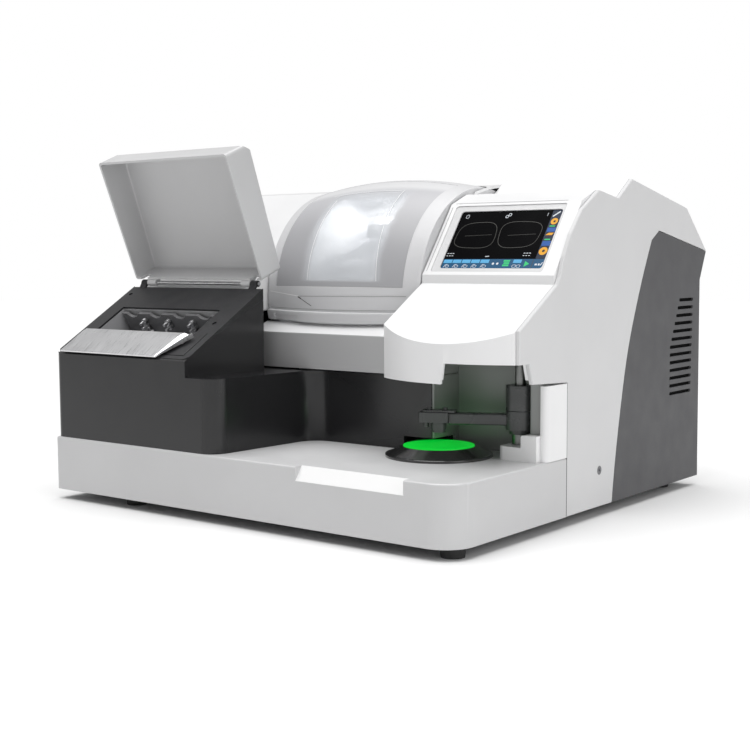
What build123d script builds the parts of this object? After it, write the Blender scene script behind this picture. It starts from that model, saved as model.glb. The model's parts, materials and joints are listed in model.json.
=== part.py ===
"""Countertop automatic lens edger: frame tracer, grinding chamber, blocker and touch display in one case.

Millimetres. +X is to the operator's right, +Y to the back, +Z up. The origin is on the worktop, at the
middle of the case's footprint.
"""
from build123d import *
from math import cos, sin, radians, atan2, degrees, hypot
import os

# ---------------------------------------------------------------- driving dimensions
WIDTH = 680.0
DEPTH = 650.0
FOOT_HEIGHT = 14.0
TRAY_Z = 88.0
SKIN = 4.0
PANEL = 5.0
REVEAL = 0.5
SEAM = 1.4
SIDE_SCREW = (6.0, 61.5)
SIDE_SCREW_R = 5.8

HALF = WIDTH / 2
FRONT = -DEPTH / 2
BACK = DEPTH / 2
INNER = HALF - PANEL - REVEAL

# side view of the case, as (Y, Z) points
RIDGE = (88.5, 437.5)
REAR_BREAK = (258.0, 403.5)
REAR_LIP = (BACK, 344.0)
REAR_FOOT = (304.5, 301.0)
REAR_PANEL_Y = 300.0

# blocker bay, under the display hood
BAY_BACK = -78.0
BAY_LEFT = 175.0
WALL_TOP = 184.0
HOOD_LEFT = 138.0
HOOD_FLOOR = 186.0
HOOD_BROW_Z = 249.5
FACET_FOOT = (-104.0, 303.0)
FACET_LOW = (-103.5, 314.0)
FACET_HIGH = (-36.5, 406.0)
FACET_CREST = (-1.0, 420.3)
FACET_NOTCH = (51.6, 411.5)
DISPLAY_W, DISPLAY_H = 152.4, 91.4
DISPLAY_X = 236.0
BEZEL_W, BEZEL_H = 168.0, 106.0

# grinding chamber and its rolling lid, which turns about one axis
LID_Y, LID_Z = 41.6, 281.6
LID_EDGE_R, LID_CROWN_R = 150.0, 164.5
LID_X0, LID_X1 = -130.0, 136.0
LID_FROM, LID_TO = 60.0, 197.0
WINDOW_X, WINDOW_ARC = (-112.0, 112.0), (99.0, 174.5)
LID_SKIN = 5.0
LID_CHEEK_R = 118.0
PIN_R = 6.0
RUN = 0.06
BASIN_R = 143.0
BASIN_X0, BASIN_X1 = -120.0, 126.0
BASIN_BACK, BASIN_FLOOR, BASIN_SILL = 110.0, 150.0, 246.0
DRAIN_X, DRAIN_Y = 3.0, 40.0
MID_FRONT = -144.4
LEDGE = [(MID_FRONT, 234.5), (-112.0, 247.0)]

# lens carriage, lens shafts and grinding wheels
SWING_Y, SWING_Z = 84.0, 358.0
LENS_Y, LENS_Z = 2.0, 324.0
WHEEL_Y, WHEEL_Z, WHEEL_R = 20.0, 222.0, 45.0
MOTOR_Y, MOTOR_Z, MOTOR_R = 190.0, 152.0, 44.0
SPINDLE_R = 9.0
PULLEY_X0, PULLEY_X1 = -133.0, -124.0
SPINDLE_PULLEY_R, MOTOR_PULLEY_R = 24.0, 18.0
ARM_LEFT, ARM_RIGHT = (-104.0, -82.0), (88.0, 110.0)
LENS_SHAFT_R, QUILL_R, QUILL_TRAVEL = 9.0, 13.0, 11.0
LEFT_TIP, RIGHT_TIP = -17.0, -1.0

# frame tracer, in the left front corner; its deck slopes up to the lid's hinge
TRACER_RIGHT = -80.0
DECK_Y, DECK_Z = FRONT + 6.0, 207.0
DECK_ANGLE = 31.0
DECK_LENGTH = 171.0
DECK_BACK = DECK_Y + DECK_LENGTH * cos(radians(DECK_ANGLE))
DECK_PLATE = 3.0
WELL_U0, WELL_U1, WELL_V0, WELL_V1 = -312.0, -116.0, 34.0, 116.0
HINGE_Y, HINGE_Z = -167.0, 301.0
LID_OPEN = 99.0
TRACER_LID_DEPTH, TRACER_LID_SKIN = 45.0, 3.2
TRACER_LID_PLAN = (-HALF + 2, TRACER_RIGHT - 4, -7.0, DECK_LENGTH + 3.0)

TABLE_U, TABLE_V, TABLE_R, TABLE_SHAFT_R = -214.0, 75.0, 34.0, 8.0
PLATE_U0, PLATE_U1, PLATE_V0, PLATE_V1 = -326.0, -104.0, -2.5, 46.0
REAR_WALL_V = 106.0
SCALLOPS = (-286, -238, -190, -142)
PEGS = (-262, -214, -166)
HINGE_LUGS = [(-326.0, -314.0), (-106.0, -94.0)]
LID_KNUCKLES = [(-313.0, -296.0), (-124.0, -107.0)]

# blocker
DISC_X, DISC_Y, DISC_R = 199.0, -153.0, 68.0
LIGHT_R, LIGHT_TOP = 45.0, 101.8
COLUMN_X, COLUMN_Y, COLUMN_R = 291.0, -108.0, 7.0
COLLAR_R, NECK_R, SLEEVE_R = 10.4, 12.0, 18.5
PEDESTAL_LOW, PEDESTAL_HIGH = 105.0, 120.5
NOTCH_LEFT = 246.6
RECESS_LEFT, RECESS_TOP = BAY_LEFT + 0.3, 211.0
ARM_ANGLE = degrees(atan2(DISC_Y - COLUMN_Y, DISC_X - COLUMN_X))
ARM_REACH = hypot(DISC_X - COLUMN_X, DISC_Y - COLUMN_Y)

# back panel
FAN_X, FAN_Z, FAN_R = 220.0, 200.0, 57.0
INLET_X, SWITCH_X, INLET_Z = 210.0, 180.0, 112.0
PORT_X, PORT_Z = (-220.0, -185.0, -150.0), 116.0

# feet and vents
FEET = [(314, -289), (-215, -287), (300, 262), (-300, 262)]
FOOT_R = 14.0
VENT_PITCH, VENT_ROWS, VENT_TOP_Z = 10.94, 13, 273.8
VENT_FRONT = [
    (170.0, 371.0), (147.8, 358.0), (126.6, 317.7), (102.0, 264.6), (81.9, 212.5), (64.9, 147.7),
    (51.1, 81.8), (40.5, FOOT_HEIGHT),
]


# ---------------------------------------------------------------- helpers
def block(x0, x1, y0, y1, z0, z1):
    return Pos((x0 + x1) / 2, (y0 + y1) / 2, (z0 + z1) / 2) * Box(x1 - x0, y1 - y0, z1 - z0)


def prism_x(points, x0, x1):
    """A (Y, Z) outline, drawn out along X."""
    face = make_face(Polyline(*points, close=True))
    return extrude(Plane.YZ.offset(x0) * face, x1 - x0)


def prism_y(points, y0, y1):
    """An (X, Z) outline, drawn out along Y."""
    face = make_face(Polyline(*points, close=True))
    return extrude(Plane(origin=(0, y0, 0), x_dir=(1, 0, 0), z_dir=(0, -1, 0)) * face, y0 - y1)


def prism_z(points, z0, z1):
    """An (X, Y) outline, drawn up along Z."""
    return extrude(Plane.XY.offset(z0) * make_face(Polyline(*points, close=True)), z1 - z0)


def rod_x(radius, x0, x1, y, z):
    return Pos((x0 + x1) / 2, y, z) * Rot(0, 90, 0) * Cylinder(radius, x1 - x0)


def rod_y(radius, y0, y1, x, z):
    return Pos(x, (y0 + y1) / 2, z) * Rot(90, 0, 0) * Cylinder(radius, y1 - y0)


def rod_z(radius, z0, z1, x, y):
    return Pos(x, y, (z0 + z1) / 2) * Cylinder(radius, z1 - z0)


def on_deck(shape):
    """Places a shape drawn in the deck's own frame: X to the right, Y up the slope, Z out of the deck."""
    return Pos(0, DECK_Y, DECK_Z) * Rot(DECK_ANGLE, 0, 0) * shape


def revolve_lid(face, start, stop):
    """A face drawn as (X, radius), turned about the chamber lid's axis from one angle to another."""
    plane = Plane(origin=(0, LID_Y, LID_Z), x_dir=(1, 0, 0), z_dir=(0, -1, 0))
    axis = Axis((0, LID_Y, LID_Z), (1, 0, 0))
    placed = (plane * face).rotate(axis, start - 90)
    return revolve(placed, axis, stop - start)


def crown(x, extra=0.0):
    """The lid's radius at X: an arc, highest in the middle."""
    middle, half = (LID_X0 + LID_X1) / 2, (LID_X1 - LID_X0) / 2
    rise = LID_CROWN_R - LID_EDGE_R
    bow = (half**2 + rise**2) / (2 * rise)
    return LID_CROWN_R - bow + (bow**2 - (x - middle) ** 2) ** 0.5 + extra


def crown_band(x0, x1, outer, inner):
    """A strip that follows the crown between two offsets from it, as (X, radius)."""
    middle = (x0 + x1) / 2
    top = ThreePointArc((x0, crown(x0, outer)), (middle, crown(middle, outer)), (x1, crown(x1, outer)))
    low = ThreePointArc((x1, crown(x1, inner)), (middle, crown(middle, inner)), (x0, crown(x0, inner)))
    return make_face([top, Line(top @ 1, low @ 0), low, Line(low @ 1, top @ 0)])


def mirrored(shape):
    return mirror(shape, Plane.YZ)


def corner_at(face, x, y):
    """The corners of a plan face that lie at one point."""
    return [v for v in face.vertices() if hypot(v.X - x, v.Y - y) < 1]


# ---------------------------------------------------------------- base
def base_outline(inset, corner):
    left, right = -HALF + inset, HALF - inset
    left_panel, right_panel = -INNER + inset, INNER - inset
    front, back = FRONT + inset, REAR_PANEL_Y + 3 - inset
    points = [
        (left, front), (right, front), (right, BAY_BACK - SEAM), (right_panel, BAY_BACK - SEAM),
        (right_panel, back), (left_panel, back), (left_panel, DECK_BACK), (left, DECK_BACK),
    ]
    face = make_face(Polyline(*points, close=True))
    face = fillet(corner_at(face, right, front), corner)
    return fillet(corner_at(face, left, front), max(1.0, 6.0 - inset))


def base_pan():
    outer = extrude(Plane.XY.offset(FOOT_HEIGHT) * base_outline(0, 38), TRAY_Z - FOOT_HEIGHT)
    outer = fillet(outer.faces().sort_by(Axis.Z)[-1].edges().filter_by(lambda e: e.center().Y < -250), 2.5)
    inner_high = TRAY_Z - SKIN - FOOT_HEIGHT + 1
    inner = extrude(Plane.XY.offset(FOOT_HEIGHT - 1) * base_outline(SKIN, 34), inner_high)
    rib = block(106, 275, FRONT + 3, FRONT + 20, 66, TRAY_Z - 3)
    bevel = [(FRONT - 1, 71), (FRONT - 1, 90), (FRONT + 12, 90), (FRONT + 12, 88), (FRONT, 71)]
    notch = prism_x(bevel, 110, 271)
    return (outer - inner) + rib - notch - rod_z(13, TRAY_Z - 10, TRAY_Z + 5, DRAIN_X, DRAIN_Y)


def feet():
    group = []
    for x, y in FEET:
        foot = Pos(x, y, 0) * extrude(Circle(FOOT_R), FOOT_HEIGHT, taper=-6)
        group.append(foot - rod_z(5, -1, 4, x, y))
    return Compound(group)


def bottom_plate():
    plate = extrude(Plane.XY.offset(FOOT_HEIGHT) * base_outline(SKIN + REVEAL, 33), 2)
    for x in (-200, -120, 120, 200):
        for y in (60, 80, 100, 120, 140):
            plate -= Pos(x, y, FOOT_HEIGHT) * extrude(SlotOverall(50, 5), 6)
    return plate


# ---------------------------------------------------------------- dark front cover and tracer deck
def cover_region(inset):
    """Plan of the dark cover: the tracer's front corner, the wall that runs back and the recessed wall."""
    front, left = FRONT + 3 + inset, -HALF + inset
    points = [
        (left, front), (-30 - inset, front), (-21 - inset, -139 + inset), (BAY_LEFT - inset, -135 + inset),
        (BAY_LEFT - inset, BAY_BACK + inset * 2), (left, BAY_BACK + inset * 2),
    ]
    face = make_face(Polyline(*points, close=True))
    face = fillet(corner_at(face, -30 - inset, front), 24 - inset)
    face = fillet(corner_at(face, -21 - inset, -139 + inset), 30 + inset)
    return fillet(corner_at(face, left, front), 12 - inset)


def tracer_wedge(inset, low):
    top = DECK_Z + tan_deck() * (DECK_BACK - DECK_Y)
    points = [
        (FRONT + 3 + inset, low), (FRONT + 3 + inset, DECK_Z - 2), (DECK_Y, DECK_Z),
        (DECK_BACK - inset, top - inset * tan_deck()), (DECK_BACK - inset, low),
    ]
    return prism_x(points, -HALF + inset, TRACER_RIGHT - inset)


def tan_deck():
    return sin(radians(DECK_ANGLE)) / cos(radians(DECK_ANGLE))


def deck_slab(gap=0.0):
    u0, u1 = -HALF - gap + 0.5, TRACER_RIGHT + gap - 0.5
    return on_deck(block(u0, u1, 1 - gap, DECK_LENGTH + 6, -DECK_PLATE - gap, 30))


def front_cover():
    low = extrude(Plane.XY.offset(TRAY_Z) * cover_region(0), WALL_TOP - TRAY_Z)
    low -= extrude(Plane.XY.offset(TRAY_Z - 1) * cover_region(SKIN), WALL_TOP - SKIN - TRAY_Z + 1)
    low -= block(-HALF + SKIN, BAY_LEFT - SKIN, MID_FRONT - 4, BAY_BACK + 20, TRAY_Z - 1, WALL_TOP + 1)
    low -= block(-HALF - 1, -HALF + SKIN + 1, DECK_BACK, BAY_BACK + 20, TRAY_Z - 1, WALL_TOP + 1)
    wall = extrude(Plane.XY.offset(TRAY_Z) * cover_region(0), WALL_TOP - TRAY_Z)
    wall -= extrude(Plane.XY.offset(TRAY_Z - 1) * cover_region(SKIN), WALL_TOP - TRAY_Z + 2)
    wall &= block(-60, BAY_LEFT + 1, MID_FRONT - 30, BAY_BACK, TRAY_Z, WALL_TOP)
    high = tracer_wedge(0, TRAY_Z) - tracer_wedge(SKIN, TRAY_Z - 1)
    high &= extrude(Plane.XY.offset(TRAY_Z) * cover_region(0), 300)
    low -= tracer_wedge(SKIN, TRAY_Z - 1)
    return (low + wall + high) - deck_slab(0.15) - disc_room()


def disc_room():
    """The room kept round the blocker's disc, low down in the walls behind it."""
    return rod_z(DISC_R + 1.8, TRAY_Z - 1, LIGHT_TOP + 3.7, DISC_X, DISC_Y)


def tracer_deck():
    slab = on_deck(block(-HALF + 0.5, TRACER_RIGHT - 0.5, 1, DECK_LENGTH - 1.5, -DECK_PLATE, 0))
    corners = slab.edges().filter_by(lambda e: abs(e.length - DECK_PLATE) < 0.1 and e.center().Y < -300)
    slab = fillet(corners, 10)
    opening = on_deck(block(WELL_U0, WELL_U1, WELL_V0, WELL_V1, -20, 20))
    groove = on_deck(block(-330, -92, 8, 9.4, -1.2, 2))
    side_groove = on_deck(block(-93.4, -92, 8, 60, -1.2, 2))
    plate = slab - opening - groove - side_groove
    for u, v in ((-100, 84), (-328, 150)):
        plate -= on_deck(rod_z(3.2, -1.6, 5, u, v))
    for u0, u1 in HINGE_LUGS:
        plate += hinge_lug(u0, u1)
    return plate


def hinge_lug(u0, u1):
    foot_y, foot_z = HINGE_Y - 9, DECK_Z + tan_deck() * (HINGE_Y - 9 - DECK_Y) - 1
    points = [(foot_y, foot_z), (foot_y + 4, foot_z + 7), (HINGE_Y - 4.5, HINGE_Z), (HINGE_Y, HINGE_Z + 4.5),
              (HINGE_Y + 3, HINGE_Z), (HINGE_Y - 5, foot_z + 2)]
    lug = prism_x(points, u0, u1) + rod_x(4.2, u0, u1, HINGE_Y, HINGE_Z)
    return lug - rod_x(2.5, u0 - 1, u1 + 1, HINGE_Y, HINGE_Z)


def tracer_hinge_pin():
    return rod_x(2.5, HINGE_LUGS[0][0] - 2, HINGE_LUGS[1][1] + 2, HINGE_Y, HINGE_Z)


# ---------------------------------------------------------------- frame tracer
def tracer_well():
    floor = -58
    outer = block(WELL_U0 - 3, WELL_U1 + 3, WELL_V0 - 3, WELL_V1 + 3, floor, -DECK_PLATE)
    inner = block(WELL_U0 + 1, WELL_U1 - 1, WELL_V0 + 1, WELL_V1 - 1, floor + 3, 5)
    tub = outer - inner
    tub -= rod_z(TABLE_SHAFT_R + RUN, floor - 1, floor + 5, TABLE_U, TABLE_V)
    return on_deck(tub)


def tracer_turntable():
    disc = rod_z(TABLE_R, -52, -46, TABLE_U, TABLE_V) + rod_z(TABLE_SHAFT_R, -64, -50, TABLE_U, TABLE_V)
    rails = block(TABLE_U - 28, TABLE_U + 28, TABLE_V - 13, TABLE_V - 9, -46, -41)
    rails += block(TABLE_U - 28, TABLE_U + 28, TABLE_V + 9, TABLE_V + 13, -46, -41)
    return on_deck(disc + rails)


def stylus_carriage():
    body = block(TABLE_U - 20, TABLE_U + 2, TABLE_V - 8.5, TABLE_V + 8.5, -45.6, -36)
    post = rod_z(6, -36, -30, TABLE_U - 9, TABLE_V)
    return on_deck(body + post - rod_z(2.5 + RUN, -50, -20, TABLE_U - 9, TABLE_V))


def tracer_stylus():
    pin = rod_z(2.5, -43, -14, TABLE_U - 9, TABLE_V) + rod_z(4.5, -14, -12, TABLE_U - 9, TABLE_V)
    return on_deck(pin + rod_z(1.2, -12, -5, TABLE_U - 9, TABLE_V))


def front_clamp_plate():
    """A bright cover plate with a faceted right end, on a jaw that reaches down into the well."""
    u0, u1 = PLATE_U0, PLATE_U1
    ridge = 9.5
    corners = [(u0 + 10, PLATE_V1), (u0, PLATE_V0), (u1 - 30, PLATE_V0), (u1, PLATE_V1)]
    plate = prism_z(corners, 3.0, ridge)
    fall = [(PLATE_V0 - 5, ridge + 1), (PLATE_V0 - 5, 4.4), (PLATE_V0, 4.8), (PLATE_V1 - 8, ridge),
            (PLATE_V1 - 8, ridge + 1)]
    plate -= prism_x(fall, u0 - 10, u1 + 10)
    plate -= Pos(u1 - 30, PLATE_V0, 4.2) * Rot(0, 0, 59) * prism_x([(0, 0), (0, 12), (26, 12)], -60, 90)
    jaw = block(WELL_U0 + 8, WELL_U1 - 8, PLATE_V1 - 9, PLATE_V1 - 5, -26, 3.5)
    for u in PEGS:
        jaw += rod_y(2, PLATE_V1 - 6, PLATE_V1 + 6, u, -22) + rod_y(2, PLATE_V1 - 6, PLATE_V1 + 6, u, -14)
    return on_deck(plate + jaw)


def rear_clamp_wall():
    wall = block(WELL_U0 + 5, WELL_U1 - 5, REAR_WALL_V, REAR_WALL_V + 5, -40, -4.5)
    for u in SCALLOPS:
        wall -= on_scallop(u)
    return on_deck(wall)


def on_scallop(u):
    return rod_y(15, REAR_WALL_V - 1, REAR_WALL_V + 6, u, 4.5)


def rear_clamp_pins():
    group = []
    for u in PEGS:
        for w in (-14, -22):
            body = rod_y(2.2, REAR_WALL_V - 13, REAR_WALL_V, u, w)
            knob = rod_y(4.2, REAR_WALL_V - 6, REAR_WALL_V, u, w)
            group.append(on_deck(body + knob))
    for u in PEGS[::2]:
        group.append(on_deck(block(u - 5, u + 5, REAR_WALL_V - 12, REAR_WALL_V, -36, -26.4)))
    return Compound(group)


def tracer_lid_box(inset, corner):
    """The closed lid's outline, lying on the deck, with its upper edges rounded."""
    u0, u1, v0, v1 = TRACER_LID_PLAN
    high = TRACER_LID_DEPTH
    points = [
        (v0 + inset, 1.5), (v0 + inset, high - 8 - inset), (v0 + 12 + inset * 0.6, high + 6 - inset),
        (v1 - inset, high - inset), (v1 - inset, 1.5),
    ]
    body = prism_x(points, u0 + inset, u1 - inset)
    return fillet(body.edges().filter_by(lambda e: e.center().Z > 8 and e.length > 20), corner)


def tracer_lid():
    """Drawn shut over the deck, then turned up to its stop, where it stands at rest."""
    u0, u1, v0, v1 = TRACER_LID_PLAN
    skin = TRACER_LID_SKIN
    mouth = block(u0 + skin, u1 - skin, v0 + skin, v1 - skin, -5, 2)
    lid = on_deck(tracer_lid_box(0, 5) - tracer_lid_box(skin, 3) - mouth)
    for a0, a1 in HINGE_LUGS:
        lid -= rod_x(13, a0 - 0.6, a1 + 0.6, HINGE_Y, HINGE_Z)
    lid -= rod_x(5.4, u0 - 1, u1 + 1, HINGE_Y, HINGE_Z)
    web = [(178.7, 7.1), (173.9, 2.3), (170.9, 2.6), (170.9, 20.0), (174.2, 18.0)]
    for a0, a1 in LID_KNUCKLES:
        lid += on_deck(prism_x(web, a0, a1)) + rod_x(4.8, a0, a1, HINGE_Y, HINGE_Z)
        lid -= rod_x(2.5 + RUN, a0 - 1, a1 + 1, HINGE_Y, HINGE_Z)
    return lid.rotate(Axis((0, HINGE_Y, HINGE_Z), (1, 0, 0)), -LID_OPEN)


# ---------------------------------------------------------------- upper shell
def back_profile(inset, floor):
    """The shell's ridge, rear slope and back edge, which all three sections share."""
    return [
        (RIDGE[0], RIDGE[1] - inset), (REAR_BREAK[0] - inset * 0.4, REAR_BREAK[1] - inset),
        (REAR_LIP[0] - inset * 1.4, REAR_LIP[1] - inset * 0.2), (REAR_FOOT[0] - inset, REAR_FOOT[1]),
        (REAR_FOOT[0] - inset, floor),
    ]


def left_profile(inset):
    return [
        (-163 + inset, HOOD_FLOOR - inset * 0.5), (-163 + inset, 291 - inset * 0.6), (-24, 350.5 - inset),
        (55.4 + inset * 0.3, 433.5 - inset),
    ] + back_profile(inset, HOOD_FLOOR + 110)


def middle_profile(inset):
    (low_y, low_z), (high_y, high_z) = LEDGE
    return [
        (low_y + inset, HOOD_FLOOR), (low_y + inset, low_z - inset * 0.4),
        (high_y + inset * 0.6, high_z - inset * 0.8),
        (-60, high_z - inset * 0.8), (20, 425 - inset), (55.4, 433.5 - inset),
    ] + back_profile(inset, HOOD_FLOOR)


def ledge_block(gap, x0, x1):
    """All that lies under the ledge in front of the chamber lid, raised by a gap."""
    (low_y, low_z), (high_y, high_z) = LEDGE
    slope = (high_z - low_z) / (high_y - low_y)
    side, far = gap * sin(atan2(slope, 1)), low_y - 55
    line = low_z + gap * cos(atan2(slope, 1)) + slope * (far - low_y + side)
    bend = far + (high_z + gap - line) / slope
    top = high_z + gap
    return prism_x([(far, 100), (far, line), (bend, top), (LID_Y, top), (LID_Y, 100)], x0, x1)


def hood_profile(inset):
    brow_y, side_y, side_z = -240.0, -192.2, HOOD_BROW_Z
    slope = (FACET_FOOT[1] - side_z) / (FACET_FOOT[0] - side_y)
    brow_z = side_z + slope * (brow_y - side_y)
    return [
        (brow_y, HOOD_FLOOR), (brow_y, brow_z - inset * 1.15),
        (FACET_FOOT[0] + inset, FACET_FOOT[1] - inset * 0.5),
        (FACET_LOW[0] + inset, FACET_LOW[1] - inset * 0.2),
        (FACET_HIGH[0] + inset * 0.7, FACET_HIGH[1] - inset * 0.7),
        (FACET_CREST[0] + inset * 0.2, FACET_CREST[1] - inset), (FACET_NOTCH[0], FACET_NOTCH[1] - inset),
    ] + back_profile(inset, HOOD_FLOOR)


def hood_plan(inset, x_right):
    """Plan of the hood: a bowed brow between two straight sides."""
    left, right, back = HOOD_LEFT + inset, x_right, REAR_FOOT[0] + 25
    bow = ThreePointArc((left, -186 + inset), (236, -217.5 + inset), (HALF, -190 + inset))
    edges = [bow, Line(bow @ 1, (HALF, back)), Line((HALF, back), (left, back)), Line((left, back), bow @ 0)]
    face = make_face(edges)
    return face & Pos((left + right) / 2, 0) * Rectangle(right - left, 1200)


def hood_block(inset, x_right, floor):
    body = prism_x(hood_profile(inset), HOOD_LEFT + inset, x_right)
    return body & extrude(Plane.XY.offset(floor) * hood_plan(inset, x_right), 300)


def bay_cutout():
    """The brow's notch over the blocker, which runs round the right corner."""
    top, low = RECESS_TOP, HOOD_FLOOR - 16
    front = prism_y([(245.4, low), (250.8, top), (HALF + 5, top), (HALF + 5, low)], -240, -160)
    side = prism_x([(-240, low), (-240, top), (-167.8, top), (-160.3, 187), (-160.3, low)], 240, HALF + 5)
    return front & side


def recess_mouth():
    """The hood's floor is left out over the bay, where the recess goes up; the brow's front wall stays."""
    low, high = HOOD_FLOOR - 1, HOOD_FLOOR + SKIN + 1
    front_open = block(NOTCH_LEFT, HALF, -240, BAY_BACK + 4.5, low, high)
    behind_brow = extrude(Plane.XY.offset(low) * hood_plan(SKIN, HALF), high - low)
    rest = block(RECESS_LEFT - 0.4, NOTCH_LEFT + 1, -240, BAY_BACK + 4.5, low, high)
    return front_open + (rest & behind_brow)


def lid_sweep(clear):
    """The room that the rolling lid needs in the shell, over its whole travel, down to the ledge."""
    face = crown_band(LID_X0 - 2, LID_X1 + 1.6, clear, -140)
    body = revolve_lid(face, -18, 199.5)
    lip = revolve_lid(crown_band(LID_X0 - 2, LID_X1 + 1.6, 9.5, -140), 184, 199.5)
    return (body + lip) - ledge_block(0, LID_X0 - 5, LID_X1 + 5)


def upper_shell():
    left = prism_x(left_profile(0), -INNER, LID_X0 - 2)
    left = fillet(left.edges().filter_by(Axis.X).filter_by(lambda e: e.center().Z > 330), 6)
    left_in = prism_x(left_profile(SKIN), -INNER + SKIN, LID_X0 - 5)
    left_side = block(LID_X0 - 6, LID_X0 + 1, MID_FRONT + SKIN, 268, HOOD_FLOOR - 3, 262)
    middle = prism_x(middle_profile(0), LID_X0 - 2, HOOD_LEFT)
    middle_in = prism_x(middle_profile(SKIN), LID_X0 - 2, HOOD_LEFT + 0.01)
    hood = hood_block(0, INNER, HOOD_FLOOR)
    hood_in = hood_block(SKIN, INNER - SKIN, HOOD_FLOOR + SKIN)
    open_rear = block(HOOD_LEFT + SKIN, INNER - SKIN, BAY_BACK + 6, BACK, HOOD_FLOOR - 1, HOOD_FLOOR + 8)
    open_low = block(-INNER + SKIN, HOOD_LEFT, MID_FRONT + SKIN, REAR_FOOT[0] - SKIN, HOOD_FLOOR - 3, 226)
    join = block(HOOD_LEFT - 1, HOOD_LEFT + SKIN + 1, 70, 268, HOOD_FLOOR - 3, 375)
    rear_cut = block(-HALF, HALF, REAR_PANEL_Y - 20, BACK + 5, HOOD_FLOOR - 3, REAR_FOOT[1])
    shell = left + middle + hood
    shell -= left_in
    shell -= middle_in
    shell -= hood_in
    shell -= open_rear
    shell -= open_low
    shell -= join
    shell -= left_side
    shell -= rod_x(8, LID_X0 - 8, LID_X0, LID_Y, LID_Z)
    shell -= rear_cut
    shell -= bay_cutout()
    shell -= recess_mouth()
    shell -= rod_x(BASIN_R + 1, BASIN_X0 - 1, BASIN_X1 + 1, LID_Y, LID_Z)
    shell -= lid_sweep(1.6) & block(LID_X0 - 2, LID_X1 + 1.6, -200, 300, 0, 600)
    shell -= rod_x(8, HOOD_LEFT - 1, HOOD_LEFT + SKIN + 1, LID_Y, LID_Z)
    shell -= display_pocket()
    return shell


# ---------------------------------------------------------------- display
def display_plane():
    y = (FACET_LOW[0] + FACET_HIGH[0]) / 2
    z = (FACET_LOW[1] + FACET_HIGH[1]) / 2
    dy, dz = FACET_HIGH[0] - FACET_LOW[0], FACET_HIGH[1] - FACET_LOW[1]
    return Plane(origin=(DISPLAY_X, y, z), x_dir=(1, 0, 0), z_dir=(0, -dz, dy))


def on_display(shape):
    return display_plane().location * shape


def display_pocket():
    opening = Pos(-4, 1, -4) * Box(BEZEL_W, BEZEL_H, 22)
    return on_display(fillet(opening.edges().filter_by(Axis.Z), 4))


def display_bezel():
    """Sits a little below the facet and laps over the glass."""
    frame = Pos(-4, 1, -3.6) * Box(BEZEL_W - 0.6, BEZEL_H - 0.6, 4.8)
    frame = fillet(frame.edges().filter_by(Axis.Z), 3.7)
    window = Pos(0, 0, -3) * Box(DISPLAY_W, DISPLAY_H, 12)
    frame -= fillet(window.edges().filter_by(Axis.Z), 4)
    return on_display(frame - Pos(0, 0, -4.8) * Box(DISPLAY_W + 4.6, DISPLAY_H + 4.6, 4.4))


def display_glass():
    return on_display(Pos(0, 0, -3.9) * Box(DISPLAY_W + 4, DISPLAY_H + 4, 2.4))


def display_board():
    board = Pos(0, 0, -9) * Box(DISPLAY_W - 6, 84, 7)
    return on_display(board + Pos(30, 0, -15) * Box(50, 50, 5))


# ---------------------------------------------------------------- side panels
def case_side(front):
    """The case's side view from a given front outline round to the back."""
    rear = [RIDGE, REAR_BREAK, REAR_LIP, REAR_FOOT, (307, FOOT_HEIGHT)]
    return front + rear


def right_front_outline():
    return [
        (BAY_BACK, FOOT_HEIGHT), (BAY_BACK, 181.7), (-160.3, HOOD_FLOOR), (-167.8, RECESS_TOP),
        (-190, RECESS_TOP), (-190, 250.7),
        FACET_FOOT, (-98, 312), (-88.2, 337), (-72.2, 364.5), (-45.1, 394.6), FACET_CREST, FACET_NOTCH,
    ]


def left_front_outline():
    front = DECK_BACK + REVEAL
    return [(front, FOOT_HEIGHT), (front, 286), (-163, 291), (-24, 350.5), (55.4, 433.5)]


def vent_region(gap):
    """The darker rear quarter of a side: a swept front edge, then straight to the back."""
    top = VENT_FRONT[0]
    curve = Spline(*[(y + gap, z) for y, z in VENT_FRONT[1:]])
    start, end = curve @ 0, curve @ 1
    corner = (top[0] + gap, top[1] - gap)
    lip = (REAR_LIP[0] + 20, REAR_LIP[1] - 4.5 - gap)
    edges = [
        curve, Line((start.X, start.Y), corner), Line(corner, lip), Line(lip, (lip[0], 0)),
        Line((lip[0], 0), (end.X, 0)), Line((end.X, 0), (end.X, end.Y)),
    ]
    return make_face(edges)


def side_slab(outline):
    return prism_x(case_side(outline), HALF - PANEL, HALF)


def vent_cut(gap):
    return extrude(Plane.YZ.offset(HALF - PANEL - 1) * vent_region(gap), PANEL + 2)


def side_panel(outline):
    panel = side_slab(outline)
    panel = chamfer(panel.faces().sort_by(Axis.X)[-1].edges(), 1.0)
    return panel - vent_cut(0) - rod_x(SIDE_SCREW_R + 0.2, HALF - 1.5, HALF + 1, *SIDE_SCREW)


def vent_panel(outline):
    panel = side_slab(outline) & vent_cut(0.8)
    for row in range(VENT_ROWS):
        y0, y1 = 209.2 + max(0, 6 - row) * 4.7, 283 - row * 0.35
        slit = extrude(SlotOverall(y1 - y0, 4.6), PANEL + 2)
        panel -= Plane.YZ.offset(HALF - PANEL - 1) * Pos((y0 + y1) / 2, VENT_TOP_Z - VENT_PITCH * row) * slit
    return panel


def right_side_panel():
    return side_panel(right_front_outline())


def right_vent_panel():
    return vent_panel(right_front_outline())


def left_side_panel():
    return mirrored(side_panel(left_front_outline()))


def left_vent_panel():
    return mirrored(vent_panel(left_front_outline()))


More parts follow.
